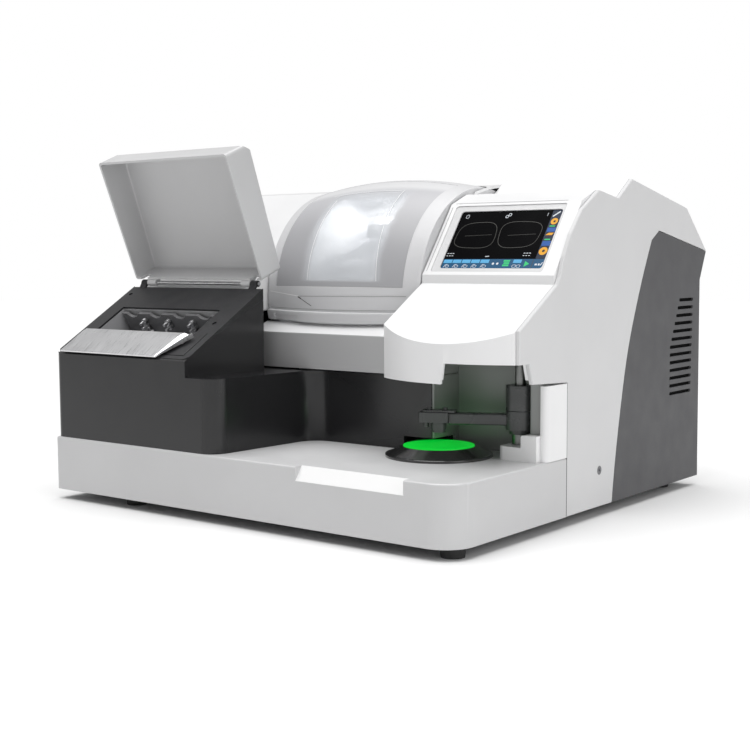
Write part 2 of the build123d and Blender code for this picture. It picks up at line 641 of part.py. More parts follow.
def case_screws():
    """Two screws hold the side panels and six hold the rear panel."""
    side = rod_x(SIDE_SCREW_R, HALF - 1.4, HALF - 0.2, *SIDE_SCREW)
    side -= rod_x(2.0, HALF - 0.9, HALF + 1, *SIDE_SCREW)
    group = [side, mirrored(side)]
    for x in (-318, 0, 318):
        for z in (100, 290):
            head = rod_y(3.6, REAR_PANEL_Y, REAR_PANEL_Y + 2, x, z)
            group.append(head - rod_y(1.5, REAR_PANEL_Y + 0.8, REAR_PANEL_Y + 3, x, z))
    return Compound(group)


# ---------------------------------------------------------------- back
def rear_panel():
    panel = block(-INNER, INNER, REAR_PANEL_Y - 3, REAR_PANEL_Y, TRAY_Z + 0.5, REAR_FOOT[1] - 1)
    panel -= rod_y(FAN_R + 1.5, REAR_PANEL_Y - 5, REAR_PANEL_Y + 2, FAN_X, FAN_Z)
    panel -= block(INLET_X - 14, INLET_X + 14, REAR_PANEL_Y - 5, REAR_PANEL_Y + 2, INLET_Z - 10, INLET_Z + 10)
    panel -= block(SWITCH_X - 7, SWITCH_X + 7, REAR_PANEL_Y - 5, REAR_PANEL_Y + 2, INLET_Z - 10, INLET_Z + 10)
    for x in PORT_X:
        panel -= rod_y(8, REAR_PANEL_Y - 5, REAR_PANEL_Y + 2, x, PORT_Z)
    return panel + fan_guard()


def fan_frame():
    y0, y1 = REAR_PANEL_Y - 29, REAR_PANEL_Y - 3
    frame = block(FAN_X - 60, FAN_X + 60, y0, y1, FAN_Z - 60, FAN_Z + 60)
    frame -= rod_y(FAN_R, y0 - 1, y1 + 1, FAN_X, FAN_Z)
    hub = rod_y(18, y0, y0 + 4, FAN_X, FAN_Z)
    for turn in range(4):
        spoke = Pos(FAN_X, y0 + 2, FAN_Z) * Rot(0, 45 + 90 * turn, 0) * Pos(36, 0, 0) * Box(46, 4, 6)
        hub += spoke
    return frame + hub + rod_y(3, y0 + 3, y0 + 9, FAN_X, FAN_Z)


def fan_rotor():
    y0, y1 = REAR_PANEL_Y - 23, REAR_PANEL_Y - 5
    hub = rod_y(19, y0, y1, FAN_X, FAN_Z)
    blade = Pos(34, 0, 0) * Rot(34, 0, 0) * Box(38, 2, 20)
    for turn in range(7):
        hub += Pos(FAN_X, (y0 + y1) / 2, FAN_Z) * Rot(0, 360 / 7 * turn, 0) * blade
    return hub - rod_y(3 + RUN, y0 - 1, y0 + 7, FAN_X, FAN_Z)


def fan_guard():
    """Rings and spokes left in the rear panel over the fan."""
    y0, y1 = REAR_PANEL_Y - 3, REAR_PANEL_Y
    guard = rod_y(16, y0, y1, FAN_X, FAN_Z)
    for radius in (26, 36, 46):
        guard += rod_y(radius, y0, y1, FAN_X, FAN_Z) - rod_y(radius - 2.6, y0 - 1, y1 + 1, FAN_X, FAN_Z)
    for turn in range(4):
        guard += Pos(FAN_X, (y0 + y1) / 2, FAN_Z) * Rot(0, 45 + 90 * turn, 0) * Pos(36, 0, 0) * Box(48, 3, 3)
    return guard


def power_inlet():
    """Mains socket and switch frame in one moulding."""
    x, z, y = INLET_X, INLET_Z, REAR_PANEL_Y
    body = block(x - 13.5, x + 13.5, y - 24, y + 0.1, z - 9.5, z + 9.5)
    body += block(SWITCH_X - 6.5, SWITCH_X + 6.5, y - 20, y + 0.1, z - 9.5, z + 9.5)
    body += block(SWITCH_X - 9, x + 16, y, y + 2.5, z - 12, z + 12)
    body -= block(x - 11, x + 11, y - 14, y + 4, z - 7, z + 7)
    body -= block(SWITCH_X - 5, SWITCH_X + 5, y - 12, y + 5, z - 8.5, z + 8.5)
    for dx, dz in ((-7, -2), (0, 3), (7, -2)):
        body += block(x + dx - 1, x + dx + 1, y - 15, y - 3, z + dz - 2, z + dz + 2)
    return body


def power_switch():
    x, z, y = SWITCH_X, INLET_Z, REAR_PANEL_Y
    points = [(y - 6, z - 6.6), (y + 1.0, z - 7.4), (y + 0.6, z), (y + 4.4, z + 6.3), (y - 5.5, z + 6.0)]
    return prism_x(points, x - 4.6, x + 4.6)


def water_ports():
    group = []
    y = REAR_PANEL_Y
    for x in PORT_X:
        port = rod_y(7.8, y - 12, y, x, PORT_Z) + rod_y(11, y, y + 4, x, PORT_Z)
        port += chamfer(rod_y(7, y + 4, y + 18, x, PORT_Z).edges().sort_by(Axis.Y)[-1], 1)
        group.append(port - rod_y(4, y - 20, y + 20, x, PORT_Z))
    return Compound(group)


# ---------------------------------------------------------------- blocker
def bay_panel():
    """Lines the bay: its left side, its back, the recess up into the hood and the post beside the column."""
    right, back = INNER - SKIN - 0.3, BAY_BACK + 4
    liner = block(BAY_LEFT + 0.3, BAY_LEFT + 3.3, -134, back, TRAY_Z + 0.3, HOOD_FLOOR - 0.5)
    liner += block(BAY_LEFT + 0.3, right, BAY_BACK, back, TRAY_Z + 0.3, HOOD_FLOOR - 0.5)
    liner += block(RECESS_LEFT, right, BAY_BACK, back, HOOD_FLOOR - 1, RECESS_TOP)
    under_brow = extrude(Plane.XY.offset(TRAY_Z) * hood_plan(SKIN + 0.5, right), 200)
    liner += block(RECESS_LEFT, right, -220, back, RECESS_TOP, RECESS_TOP + 3) & under_brow
    liner += block(RECESS_LEFT, RECESS_LEFT + 3, -205, back, HOOD_FLOOR + 0.3, RECESS_TOP + 3) & under_brow
    post = block(312, right, -122, back, PEDESTAL_HIGH + 0.2, HOOD_FLOOR - 0.5)
    post = fillet(post.edges().filter_by(Axis.Z).filter_by(lambda e: e.center().Y < -120), 4)
    return (liner + post) - disc_room()


def column_cover():
    """The outer wall beside the column, rounded at its front."""
    wall = block(INNER - SKIN + 0.8, HALF - 0.2, -128, BAY_BACK - REVEAL, TRAY_Z + 0.2, 181)
    front = wall.edges().filter_by(Axis.Z).filter_by(lambda e: e.center().Y < -100 and e.center().X > 335)
    return fillet(front, 7)


def blocker_pedestal():
    right, front, back = INNER - SKIN + 0.5, -137, BAY_BACK - 1
    low = block(276, right, front, back, TRAY_Z + 0.1, PEDESTAL_LOW)
    low = fillet(low.edges().filter_by(Axis.Z).sort_by(Axis.Y)[:2].sort_by(Axis.X)[:1], 8)
    high = block(309, right, front, back, PEDESTAL_LOW, PEDESTAL_HIGH)
    high = fillet(high.edges().filter_by(Axis.Y).sort_by(Axis.Z)[-2:].sort_by(Axis.X)[:1], 3)
    high -= rod_z(SLEEVE_R + 1, PEDESTAL_LOW + 0.2, 130, COLUMN_X, COLUMN_Y)
    return low + high - rod_z(COLUMN_R, TRAY_Z + 6, 130, COLUMN_X, COLUMN_Y)


def blocker_column():
    """A polished post with a collar at its foot, over which the sleeve's neck comes down."""
    post = rod_z(COLUMN_R, TRAY_Z + 6, RECESS_TOP - 0.3, COLUMN_X, COLUMN_Y)
    return post + rod_z(COLLAR_R, PEDESTAL_LOW + 0.2, PEDESTAL_LOW + 12.4, COLUMN_X, COLUMN_Y)


def blocker_base():
    """A low cone with a rim at its foot and a seat for the light plate."""
    rim_top = TRAY_Z + 3.6
    rim = fillet(rod_z(DISC_R, TRAY_Z + 0.1, rim_top, DISC_X, DISC_Y).edges().sort_by(Axis.Z)[-1], 1.2)
    high = LIGHT_TOP - 0.8 - rim_top
    cone = Pos(DISC_X, DISC_Y, rim_top + high / 2) * Cone(DISC_R - 3.5, LIGHT_R + 1.8, high)
    return (rim + cone) - rod_z(LIGHT_R + 0.1, LIGHT_TOP - 5, LIGHT_TOP + 5, DISC_X, DISC_Y)


def light_plate():
    return rod_z(LIGHT_R, LIGHT_TOP - 4.9, LIGHT_TOP, DISC_X, DISC_Y)


def blocker_sleeve():
    """Slides down the column; the arm turns on its lower neck."""
    neck_foot = 118
    body = rod_z(SLEEVE_R, 147.5, 179, COLUMN_X, COLUMN_Y) + rod_z(NECK_R, neck_foot, 148, COLUMN_X, COLUMN_Y)
    body += rod_z(NECK_R + 2, neck_foot, 123, COLUMN_X, COLUMN_Y)
    body -= rod_z(COLLAR_R + 0.2, neck_foot - 1, neck_foot + 13, COLUMN_X, COLUMN_Y)
    return body - rod_z(COLUMN_R + RUN, 100, 190, COLUMN_X, COLUMN_Y)


def at_column(shape):
    """Shape drawn with the column at the origin and the arm along +X."""
    return Pos(COLUMN_X, COLUMN_Y, 0) * Rot(0, 0, ARM_ANGLE) * shape


def blocker_arm():
    hub = rod_z(SLEEVE_R, 123.4, 147, 0, 0)
    beam = block(10, ARM_REACH - 14, -8, 8, 128.5, 143)
    beam = fillet(beam.edges().filter_by(Axis.X), 2)
    return at_column((hub + beam) - rod_z(NECK_R + RUN, 100, 190, 0, 0))


def blocker_head():
    """Block holder: a body on the arm's end, a top plate with two cap screws, and the pad below."""
    body = block(ARM_REACH - 13.8, ARM_REACH + 24, -14, 14, 131, 143.5)
    body = fillet(body.edges().filter_by(Axis.Z), 3)
    top = block(ARM_REACH - 22, ARM_REACH + 20, -10, 10, 143.5, 146)
    top = fillet(top.edges().filter_by(Axis.Z), 4)
    for reach in (ARM_REACH - 8, ARM_REACH + 12):
        top += rod_z(3.2, 145.5, 149, reach, 0) - rod_z(1.5, 147, 150, reach, 0)
    stub = rod_z(10, 121.5, 131, ARM_REACH, 0) + rod_z(8.6, 118, 121.5, ARM_REACH, 0)
    return at_column(body + top + stub + rod_z(3.4, 124, 131, ARM_REACH + 16, 0))


# ---------------------------------------------------------------- grinding chamber
def basin_region(inset):
    rect = Pos((BASIN_BACK - 104) / 2, (430 + BASIN_FLOOR) / 2) * Rectangle(
        BASIN_BACK + 104 - 2 * inset, 430 - BASIN_FLOOR - 2 * inset)
    return (Pos(LID_Y, LID_Z) * Circle(BASIN_R - inset)) & rect


def chamber_basin():
    outer = extrude(Plane.YZ.offset(BASIN_X0) * basin_region(0), BASIN_X1 - BASIN_X0)
    inner = extrude(Plane.YZ.offset(BASIN_X0 + 4) * basin_region(4), BASIN_X1 - BASIN_X0 - 8)
    mouth = block(BASIN_X0 + 4, BASIN_X1 - 4, -200, BASIN_BACK - 4, BASIN_SILL, 500)
    tub = outer - inner - mouth
    tub += rod_z(10.8, 60, BASIN_FLOOR + 4, DRAIN_X, DRAIN_Y)
    tub -= rod_z(8.5, 58, BASIN_FLOOR + 8, DRAIN_X, DRAIN_Y)
    for x in (BASIN_X0 + 3, BASIN_X1 - 18):
        tub += rod_x(20, x, x + 15, WHEEL_Y, WHEEL_Z)
    tub -= rod_x(SPINDLE_R + RUN, BASIN_X0 - 1, BASIN_X1 + 1, WHEEL_Y, WHEEL_Z)
    tub -= rod_x(8, BASIN_X0 - 1, BASIN_X1 + 1, SWING_Y, SWING_Z)
    return tub


def chassis():
    plate = block(-150, 152, BAY_BACK, 280, TRAY_Z + 0.2, TRAY_Z + 8)
    plate -= rod_z(13, TRAY_Z - 2, TRAY_Z + 20, DRAIN_X, DRAIN_Y)
    for x0, x1 in ((-112, -92), (92, 112)):
        plate += block(x0, x1, 96, 104, TRAY_Z + 8, BASIN_FLOOR - 0.2)
        plate += block(x0, x1, -20, -12, TRAY_Z + 8, BASIN_FLOOR - 0.2)
    plate += block(-90, 40, MOTOR_Y - 36, MOTOR_Y + 36, TRAY_Z + 8, TRAY_Z + 24)
    plate -= rod_x(MOTOR_R + 0.2, -110, 60, MOTOR_Y, MOTOR_Z)
    return plate + lid_bracket(-146, -141) + lid_bracket(143, 148)


def lid_bracket(x0, x1):
    points = [(0, TRAY_Z + 7), (LID_Y - 14, LID_Z), (LID_Y - 8, LID_Z + 14), (LID_Y + 8, LID_Z + 14),
              (LID_Y + 14, LID_Z), (84, TRAY_Z + 7)]
    plate = prism_x(points, x0, x1)
    return plate - rod_x(PIN_R, x0 - 1, x1 + 1, LID_Y, LID_Z)


def lid_pins():
    left = rod_x(PIN_R, -147, -124, LID_Y, LID_Z) + rod_x(9, -150, -146, LID_Y, LID_Z)
    right = rod_x(PIN_R, 129.8, 149, LID_Y, LID_Z) + rod_x(9, 148, 151, LID_Y, LID_Z)
    return Compound([left, right])


def lid_strut(x0, x1):
    hub = rod_x(14, x0, x1, LID_Y, LID_Z)
    bar = Pos(0, LID_Y, LID_Z) * Rot(98, 0, 0) * block(x0, x1, 0, LID_CHEEK_R + 6, -8, 8)
    return hub + bar - rod_x(PIN_R + RUN, x0 - 1, x1 + 1, LID_Y, LID_Z)


def chamber_lid_frame():
    x0, x1 = LID_X0, LID_X1
    band = crown_band(x0, x1, 0, -LID_SKIN)
    cheek = Rectangle(LID_SKIN, LID_EDGE_R - LID_CHEEK_R - 2)
    middle = (LID_CHEEK_R + LID_EDGE_R) / 2
    frame = revolve_lid(band, LID_FROM, LID_TO)
    for x in (x0 + LID_SKIN / 2, x1 - LID_SKIN / 2):
        frame += revolve_lid(Pos(x, middle) * cheek, LID_FROM, LID_TO)
    frame -= revolve_lid(crown_band(*WINDOW_X, 8, -20), *WINDOW_ARC)
    frame -= ledge_block(1.2, x0 - 5, x1 + 5)
    return frame + lid_strut(x0, x0 + LID_SKIN) + lid_strut(x1 - LID_SKIN, x1)


def chamber_lid_window():
    x0, x1 = WINDOW_X[0] + 0.3, WINDOW_X[1] - 0.3
    return revolve_lid(crown_band(x0, x1, -0.6, -4.2), WINDOW_ARC[0] + 0.12, WINDOW_ARC[1] - 0.12)


def chamber_lid_lip():
    lip = revolve_lid(crown_band(LID_X0 + 4, LID_X1 - 4, 7, 0.05), 186.5, 191.5)
    lip -= revolve_lid(crown_band(-110, -62, 9, 3.6), 188.2, 193)
    return lip


# ---------------------------------------------------------------- lens carriage
def swing_shaft():
    return rod_x(8, BASIN_X0 - 0.5, BASIN_X1 + 0.5, SWING_Y, SWING_Z)


def carriage_arm(x0, x1):
    angle = degrees(atan2(LENS_Z - SWING_Z, LENS_Y - SWING_Y))
    reach = hypot(LENS_Y - SWING_Y, LENS_Z - SWING_Z)
    beam = Pos(0, SWING_Y, SWING_Z) * Rot(angle, 0, 0) * block(x0, x1, 0, reach, -13, 13)
    return beam + rod_x(18, x0, x1, LENS_Y, LENS_Z) + rod_x(18, x0, x1, SWING_Y, SWING_Z)


def lens_carriage():
    body = carriage_arm(*ARM_LEFT) + carriage_arm(*ARM_RIGHT)
    body += rod_x(15, ARM_LEFT[1], ARM_RIGHT[0], SWING_Y, SWING_Z)
    body += prism_x([(30, 352), (44, 374), (84, 376), (92, 352), (70, 338)], -46, 52)
    body -= rod_x(8 + RUN, -200, 200, SWING_Y, SWING_Z)
    body -= rod_x(LENS_SHAFT_R + RUN, ARM_LEFT[0] - 1, ARM_LEFT[1] + 1, LENS_Y, LENS_Z)
    body -= rod_x(QUILL_R + RUN, ARM_RIGHT[0] - 1, ARM_RIGHT[1] + 1, LENS_Y, LENS_Z)
    return body


def carriage_cover():
    """Splash cover over the middle of the carriage, with a front that narrows downwards."""
    points = [(6, 366), (22, 384), (96, 386), (96, 376.7), (44, 374.1), (40, 381), (25.5, 381), (10, 363.5)]
    front = prism_y([(-38, 360), (-54, 390), (60, 390), (44, 360)], 0, 110)
    return prism_x(points, -54, 60) & front


def left_lens_shaft():
    shaft = rod_x(LENS_SHAFT_R, -106, -26, LENS_Y, LENS_Z) + rod_x(11.5, -81.5, -76, LENS_Y, LENS_Z)
    return shaft + rod_x(12, -26, LEFT_TIP, LENS_Y, LENS_Z)


def lens_quill():
    sleeve = rod_x(QUILL_R, 62, ARM_RIGHT[1] + QUILL_TRAVEL + 0.4, LENS_Y, LENS_Z)
    return sleeve - rod_x(LENS_SHAFT_R + RUN, 61, 130, LENS_Y, LENS_Z)


def right_lens_shaft():
    shaft = rod_x(LENS_SHAFT_R, RIGHT_TIP + 9, 121, LENS_Y, LENS_Z) + rod_x(12, 56, 61.6, LENS_Y, LENS_Z)
    return shaft + rod_x(12, RIGHT_TIP, RIGHT_TIP + 9, LENS_Y, LENS_Z)


# ---------------------------------------------------------------- grinding spindle and drive
def spindle():
    shaft = rod_x(SPINDLE_R, -122.5, 122, WHEEL_Y, WHEEL_Z) + rod_x(6, -136, -122, WHEEL_Y, WHEEL_Z)
    return shaft + rod_x(14, -64, -58, WHEEL_Y, WHEEL_Z)


def wheel(x0, x1, groove):
    body = rod_x(WHEEL_R, x0, x1, WHEEL_Y, WHEEL_Z) - rod_x(SPINDLE_R, x0 - 1, x1 + 1, WHEEL_Y, WHEEL_Z)
    if groove:
        middle = (x0 + x1) / 2
        corners = [(middle - 3, WHEEL_R + 1), (middle + 3, WHEEL_R + 1), (middle, WHEEL_R - 3)]
        face = make_face(Polyline(*corners, close=True))
        plane = Plane(origin=(0, WHEEL_Y, WHEEL_Z), x_dir=(1, 0, 0), z_dir=(0, -1, 0))
        body -= revolve(plane * face, Axis((0, WHEEL_Y, WHEEL_Z), (1, 0, 0)), 360)
    return body


def rough_wheel():
    return wheel(-57.9, -28, False)


def finish_wheels():
    return Compound([wheel(-27.6, -2, True), wheel(-1.6, 24, True)])


def flanged_pulley(radius, bore, y, z):
    body = rod_x(radius, PULLEY_X0, PULLEY_X1, y, z)
    for x in (PULLEY_X0, PULLEY_X1 - 1):
        body += rod_x(radius + 3.2, x, x + 1, y, z)
    return body - rod_x(bore, PULLEY_X0 - 1, PULLEY_X1 + 1, y, z)


def spindle_pulley():
    return flanged_pulley(SPINDLE_PULLEY_R, 6, WHEEL_Y, WHEEL_Z)


def motor_pulley():
    """The pulley on the motor's shaft."""
    shaft = rod_x(6, -136, -82, MOTOR_Y, MOTOR_Z) + rod_x(12, -102, -82, MOTOR_Y, MOTOR_Z)
    return flanged_pulley(MOTOR_PULLEY_R, 5, MOTOR_Y, MOTOR_Z) + shaft


def belt_loop(grow, span):
    """Two arcs and the two straight runs that touch them."""
    big, small = SPINDLE_PULLEY_R + grow, MOTOR_PULLEY_R + grow
    tilt = (big - small) / span
    up = (1 - tilt**2) ** 0.5
    first, second = (big * tilt, big * up), (span + small * tilt, small * up)
    edges = [
        Line(first, second), ThreePointArc(second, (span + small, 0), (second[0], -second[1])),
        Line((second[0], -second[1]), (first[0], -first[1])),
        ThreePointArc((first[0], -first[1]), (-big, 0), first),
    ]
    return make_face(edges)


def drive_belt():
    dy, dz = MOTOR_Y - WHEEL_Y, MOTOR_Z - WHEEL_Z
    span, lean = hypot(dy, dz), degrees(atan2(dz, dy))
    band = belt_loop(2.2, span) - belt_loop(0.35, span)
    x0, x1 = PULLEY_X0 + 1.4, PULLEY_X1 - 1.4
    return extrude(Plane.YZ.offset(x0) * Pos(WHEEL_Y, WHEEL_Z) * Rot(0, 0, lean) * band, x1 - x0)


def drive_motor():
    body = rod_x(MOTOR_R, -104, 40, MOTOR_Y, MOTOR_Z) + rod_x(22, 40, 52, MOTOR_Y, MOTOR_Z)
    for turn in range(12):
        angle = radians(30 * turn)
        y, z = MOTOR_Y + MOTOR_R * cos(angle), MOTOR_Z + MOTOR_R * sin(angle)
        body -= rod_x(2.5, -90, 30, y, z)
    return body - rod_x(12.2, -106, -80, MOTOR_Y, MOTOR_Z)


def water_nozzle():
    pipe = rod_y(4, 60, 103, 70, 300) + rod_y(5.5, 52, 62, 70, 300)
    pipe += rod_y(9, 101, BASIN_BACK - 4.1, 70, 300)
    return pipe - rod_y(2.4, 50, BASIN_BACK - 4, 70, 300)


# ---------------------------------------------------------------- electronics
def power_supply():
    box = block(170, 290, 160, 260, TRAY_Z + 0.2, 128)
    for i in range(8):
        box -= block(180 + i * 12, 184 + i * 12, 159, 162, 98, 120)
    return box


def main_board():
    board = block(-280, -160, 60, 230, 100, 102)
    chips = [(-262, 80, 34, 34, 8), (-212, 88, 22, 40, 12), (-262, 140, 22, 60, 6), (-226, 150, 44, 18, 14)]
    for x0, y0, dx, dy, high in chips:
        board += block(x0, x0 + dx, y0, y0 + dy, 102, 102 + high)
    for x in (-276, -164):
        for y in (64, 226):
            board += rod_z(3, TRAY_Z + 0.2, 100, x, y)
    return board


NODES = {
    "base_pan": base_pan, "bottom_plate": bottom_plate, "feet": feet, "front_cover": front_cover,
    "tracer_deck": tracer_deck, "tracer_hinge_pin": tracer_hinge_pin, "tracer_well": tracer_well,
    "tracer_turntable": tracer_turntable, "stylus_carriage": stylus_carriage, "tracer_stylus": tracer_stylus,
    "front_clamp_plate": front_clamp_plate, "rear_clamp_wall": rear_clamp_wall,
    "rear_clamp_pins": rear_clamp_pins, "tracer_lid": tracer_lid,
    "upper_shell": upper_shell, "display_bezel": display_bezel, "display_glass": display_glass,
    "display_board": display_board,
    "right_side_panel": right_side_panel, "right_vent_panel": right_vent_panel,
    "left_side_panel": left_side_panel, "left_vent_panel": left_vent_panel, "case_screws": case_screws,
    "rear_panel": rear_panel, "fan_frame": fan_frame, "fan_rotor": fan_rotor, "power_inlet": power_inlet,
    "power_switch": power_switch, "water_ports": water_ports, "bay_panel": bay_panel,
    "column_cover": column_cover, "blocker_pedestal": blocker_pedestal, "blocker_column": blocker_column,
    "blocker_base": blocker_base, "light_plate": light_plate, "blocker_sleeve": blocker_sleeve,
    "blocker_arm": blocker_arm, "blocker_head": blocker_head, "chamber_basin": chamber_basin,
    "chassis": chassis, "lid_pins": lid_pins, "chamber_lid_frame": chamber_lid_frame,
    "chamber_lid_window": chamber_lid_window, "chamber_lid_lip": chamber_lid_lip, "swing_shaft": swing_shaft,
    "lens_carriage": lens_carriage, "carriage_cover": carriage_cover, "left_lens_shaft": left_lens_shaft,
    "lens_quill": lens_quill, "right_lens_shaft": right_lens_shaft, "spindle": spindle,
    "rough_wheel": rough_wheel, "finish_wheels": finish_wheels, "spindle_pulley": spindle_pulley,
    "motor_pulley": motor_pulley, "drive_belt": drive_belt, "drive_motor": drive_motor,
    "water_nozzle": water_nozzle, "power_supply": power_supply, "main_board": main_board,
}

os.makedirs("parts", exist_ok=True)
for name, make in NODES.items():
    shape = make()
    shape.label = name
    export_step(shape, f"parts/{name}.step")
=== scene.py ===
"""Looks of the automatic lens edger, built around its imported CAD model. Metres, +Z up, front at -Y."""

import json
import math

import bmesh
import bpy
from mathutils import Matrix, Vector


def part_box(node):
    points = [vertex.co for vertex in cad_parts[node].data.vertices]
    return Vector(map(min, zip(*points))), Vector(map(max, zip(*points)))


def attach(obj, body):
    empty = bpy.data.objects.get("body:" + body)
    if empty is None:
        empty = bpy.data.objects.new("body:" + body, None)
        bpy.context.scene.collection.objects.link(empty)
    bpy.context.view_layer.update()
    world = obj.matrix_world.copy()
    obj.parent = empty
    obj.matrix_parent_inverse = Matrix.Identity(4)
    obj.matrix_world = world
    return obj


MM = 0.001
LID_AXIS = (0.003, 0.0416, 0.2816)
BAND_LEFT, BAND_RIGHT, BAND_TOP, BAND_Y = -0.1325, 0.1378, 0.2338, -0.1438
# the tray's finger notch slopes back from its foot at (Y, Z) = (-0.325, 0.071)
NOTCH_LEFT, NOTCH_RIGHT, NOTCH_SLOPE = 0.110, 0.271, 17.0 / 12.0
NOTCH_RISE = 0.071 + 0.325 * NOTCH_SLOPE

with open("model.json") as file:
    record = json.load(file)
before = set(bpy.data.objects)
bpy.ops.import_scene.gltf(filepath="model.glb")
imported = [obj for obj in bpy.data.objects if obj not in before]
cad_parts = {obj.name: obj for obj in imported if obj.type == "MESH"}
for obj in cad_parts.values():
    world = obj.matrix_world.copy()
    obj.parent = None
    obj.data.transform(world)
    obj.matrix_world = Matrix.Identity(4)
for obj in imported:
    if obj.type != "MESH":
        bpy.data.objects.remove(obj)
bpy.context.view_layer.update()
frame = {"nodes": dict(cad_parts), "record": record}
nodes = frame["nodes"]
scene = bpy.context.scene


# ---------------------------------------------------------------- camera, light and floor
def look_from(place, yaw, pitch, roll, lens):
    """Camera turned left of +Y by yaw, down by pitch and rolled, in degrees."""
    camera = bpy.data.objects.new("camera", bpy.data.cameras.new("camera"))
    scene.collection.objects.link(camera)
    camera.data.sensor_width = 36.0
    camera.data.lens = lens
    camera.data.clip_start = 0.05
    camera.data.clip_end = 50.0
    y, p, r = (math.radians(a) for a in (yaw, pitch, roll))
    forward = Vector((-math.sin(y) * math.cos(p), math.cos(y) * math.cos(p), -math.sin(p)))
    right = Vector((math.cos(y), math.sin(y), 0.0))
    up = right.cross(forward)
    right, up = right * math.cos(r) + up * math.sin(r), up * math.cos(r) - right * math.sin(r)
    turn = Matrix((right, up, -forward)).transposed()
    camera.matrix_world = Matrix.Translation(place) @ turn.to_4x4()
    scene.camera = camera


def area_light(name, place, target, size, watts, colour=(1, 1, 1)):
    data = bpy.data.lights.new(name, "AREA")
    data.shape = "RECTANGLE"
    data.size, data.size_y = size
    data.energy = watts
    data.color = colour
    light = bpy.data.objects.new(name, data)
    scene.collection.objects.link(light)
    light.location = place
    light.rotation_euler = (Vector(target) - Vector(place)).to_track_quat("-Z", "Y").to_euler()


look_from((1.1375, -1.4846, 0.3415), 37.989, 5.314, -0.313, 62.63)
scene.view_settings.view_transform = "Standard"
scene.view_settings.look = "None"

def studio_world(light, backdrop):
    """A dim even surround that still shows as a white backdrop."""
    world = bpy.data.worlds.new("studio")
    scene.world = world
    world.use_nodes = True
    tree = world.node_tree
    surround = tree.nodes["Background"]
    surround.inputs["Color"].default_value = (1, 1, 1, 1)
    surround.inputs["Strength"].default_value = light
    paper = tree.nodes.new("ShaderNodeBackground")
    paper.inputs["Color"].default_value = (1, 1, 1, 1)
    paper.inputs["Strength"].default_value = backdrop
    seen = tree.nodes.new("ShaderNodeLightPath").outputs["Is Camera Ray"]
    mix = tree.nodes.new("ShaderNodeMixShader")
    tree.links.new(seen, mix.inputs[0])
    tree.links.new(surround.outputs[0], mix.inputs[1])
    tree.links.new(paper.outputs[0], mix.inputs[2])
    tree.links.new(mix.outputs[0], tree.nodes["World Output"].inputs["Surface"])


def overhead(strength, spread, target):
    """A broad ceiling of light, even over the whole floor."""
    data = bpy.data.lights.new("ceiling", "SUN")
    data.energy = strength
    data.angle = math.radians(spread)
    light = bpy.data.objects.new("ceiling", data)
    scene.collection.objects.link(light)
    light.rotation_euler = Vector(target).to_track_quat("-Z", "Y").to_euler()


studio_world(0.34, 1.0)
overhead(3.2, 66, (0.05, 0.08, -1.0))
area_light("right_softbox", (2.6, -0.5, 1.1), (0.3, 0, 0.25), (1.0, 1.4), 13.5)
area_light("front_softbox", (0.5, -3.2, 0.9), (0.1, 0, 0.2), (2.2, 1.0), 0.4)
area_light("chamber_lamp", (0.003, 0.085, 0.41), (0.003, -0.02, 0.2), (0.18, 0.03), 0.3)


# ---------------------------------------------------------------- node helpers
class Shader:
    """A material's node tree with short calls for the nodes used here."""

    def __init__(self, name):
        self.material = bpy.data.materials.new(name)
        self.material.use_nodes = True
        self.tree = self.material.node_tree
        self.principled = self.tree.nodes["Principled BSDF"]
        self.place = self.tree.nodes.new("ShaderNodeTexCoord").outputs["Object"]

    def set(self, **values):
        for socket, value in values.items():
            self.principled.inputs[socket.replace("_", " ")].default_value = value
        return self

    def link(self, output, socket):
        self.tree.links.new(output, self.principled.inputs[socket])

    def node(self, kind, inputs=(), **settings):
        made = self.tree.nodes.new("ShaderNode" + kind)
        for key, value in settings.items():
            setattr(made, key, value)
        for socket, value in dict(inputs).items():
            if isinstance(value, bpy.types.NodeSocket):
                self.tree.links.new(value, made.inputs[socket])
            else:
                made.inputs[socket].default_value = value
        return made

    def stretched(self, scale):
        return self.node("Mapping", {"Vector": self.place, "Scale": scale}).outputs["Vector"]

    def noise(self, scale, detail=3.0, stretch=None):
        vector = self.place if stretch is None else self.stretched(stretch)
        return self.node("TexNoise", {"Vector": vector, "Scale": scale, "Detail": detail}).outputs["Fac"]

    def cells(self, scale):
        return self.node("TexVoronoi", {"Vector": self.place, "Scale": scale}).outputs["Distance"]

    def spread(self, value, low, high, start=0.3, stop=0.7):
        limits = {"Value": value, "From Min": start, "From Max": stop, "To Min": low, "To Max": high}
        return self.node("MapRange", limits).outputs["Result"]

    def fade(self, value, start, stop):
        """0 before start, 1 after stop, and smooth between."""
        limits = {"Value": value, "From Min": start, "From Max": stop, "To Min": 0.0, "To Max": 1.0}
        return self.node("MapRange", limits, interpolation_type="SMOOTHSTEP").outputs["Result"]

    def math(self, operation, a, b):
        return self.node("Math", {0: a, 1: b}, operation=operation).outputs["Value"]

    def blend(self, amount, first, second):
        mixed = self.node("Mix", data_type="RGBA")
        for socket, value in ((0, amount), (6, first), (7, second)):
            if isinstance(value, bpy.types.NodeSocket):
                self.tree.links.new(value, mixed.inputs[socket])
            else:
                mixed.inputs[socket].default_value = value
        return mixed.outputs[2]

    def bump(self, height, depth, strength=1.0):
        made = self.node("Bump", {"Height": height, "Distance": depth, "Strength": strength})
        self.link(made.outputs["Normal"], "Normal")


def shade(colour, factor):
    return tuple(min(1.0, c * factor) for c in colour[:3]) + (1.0,)


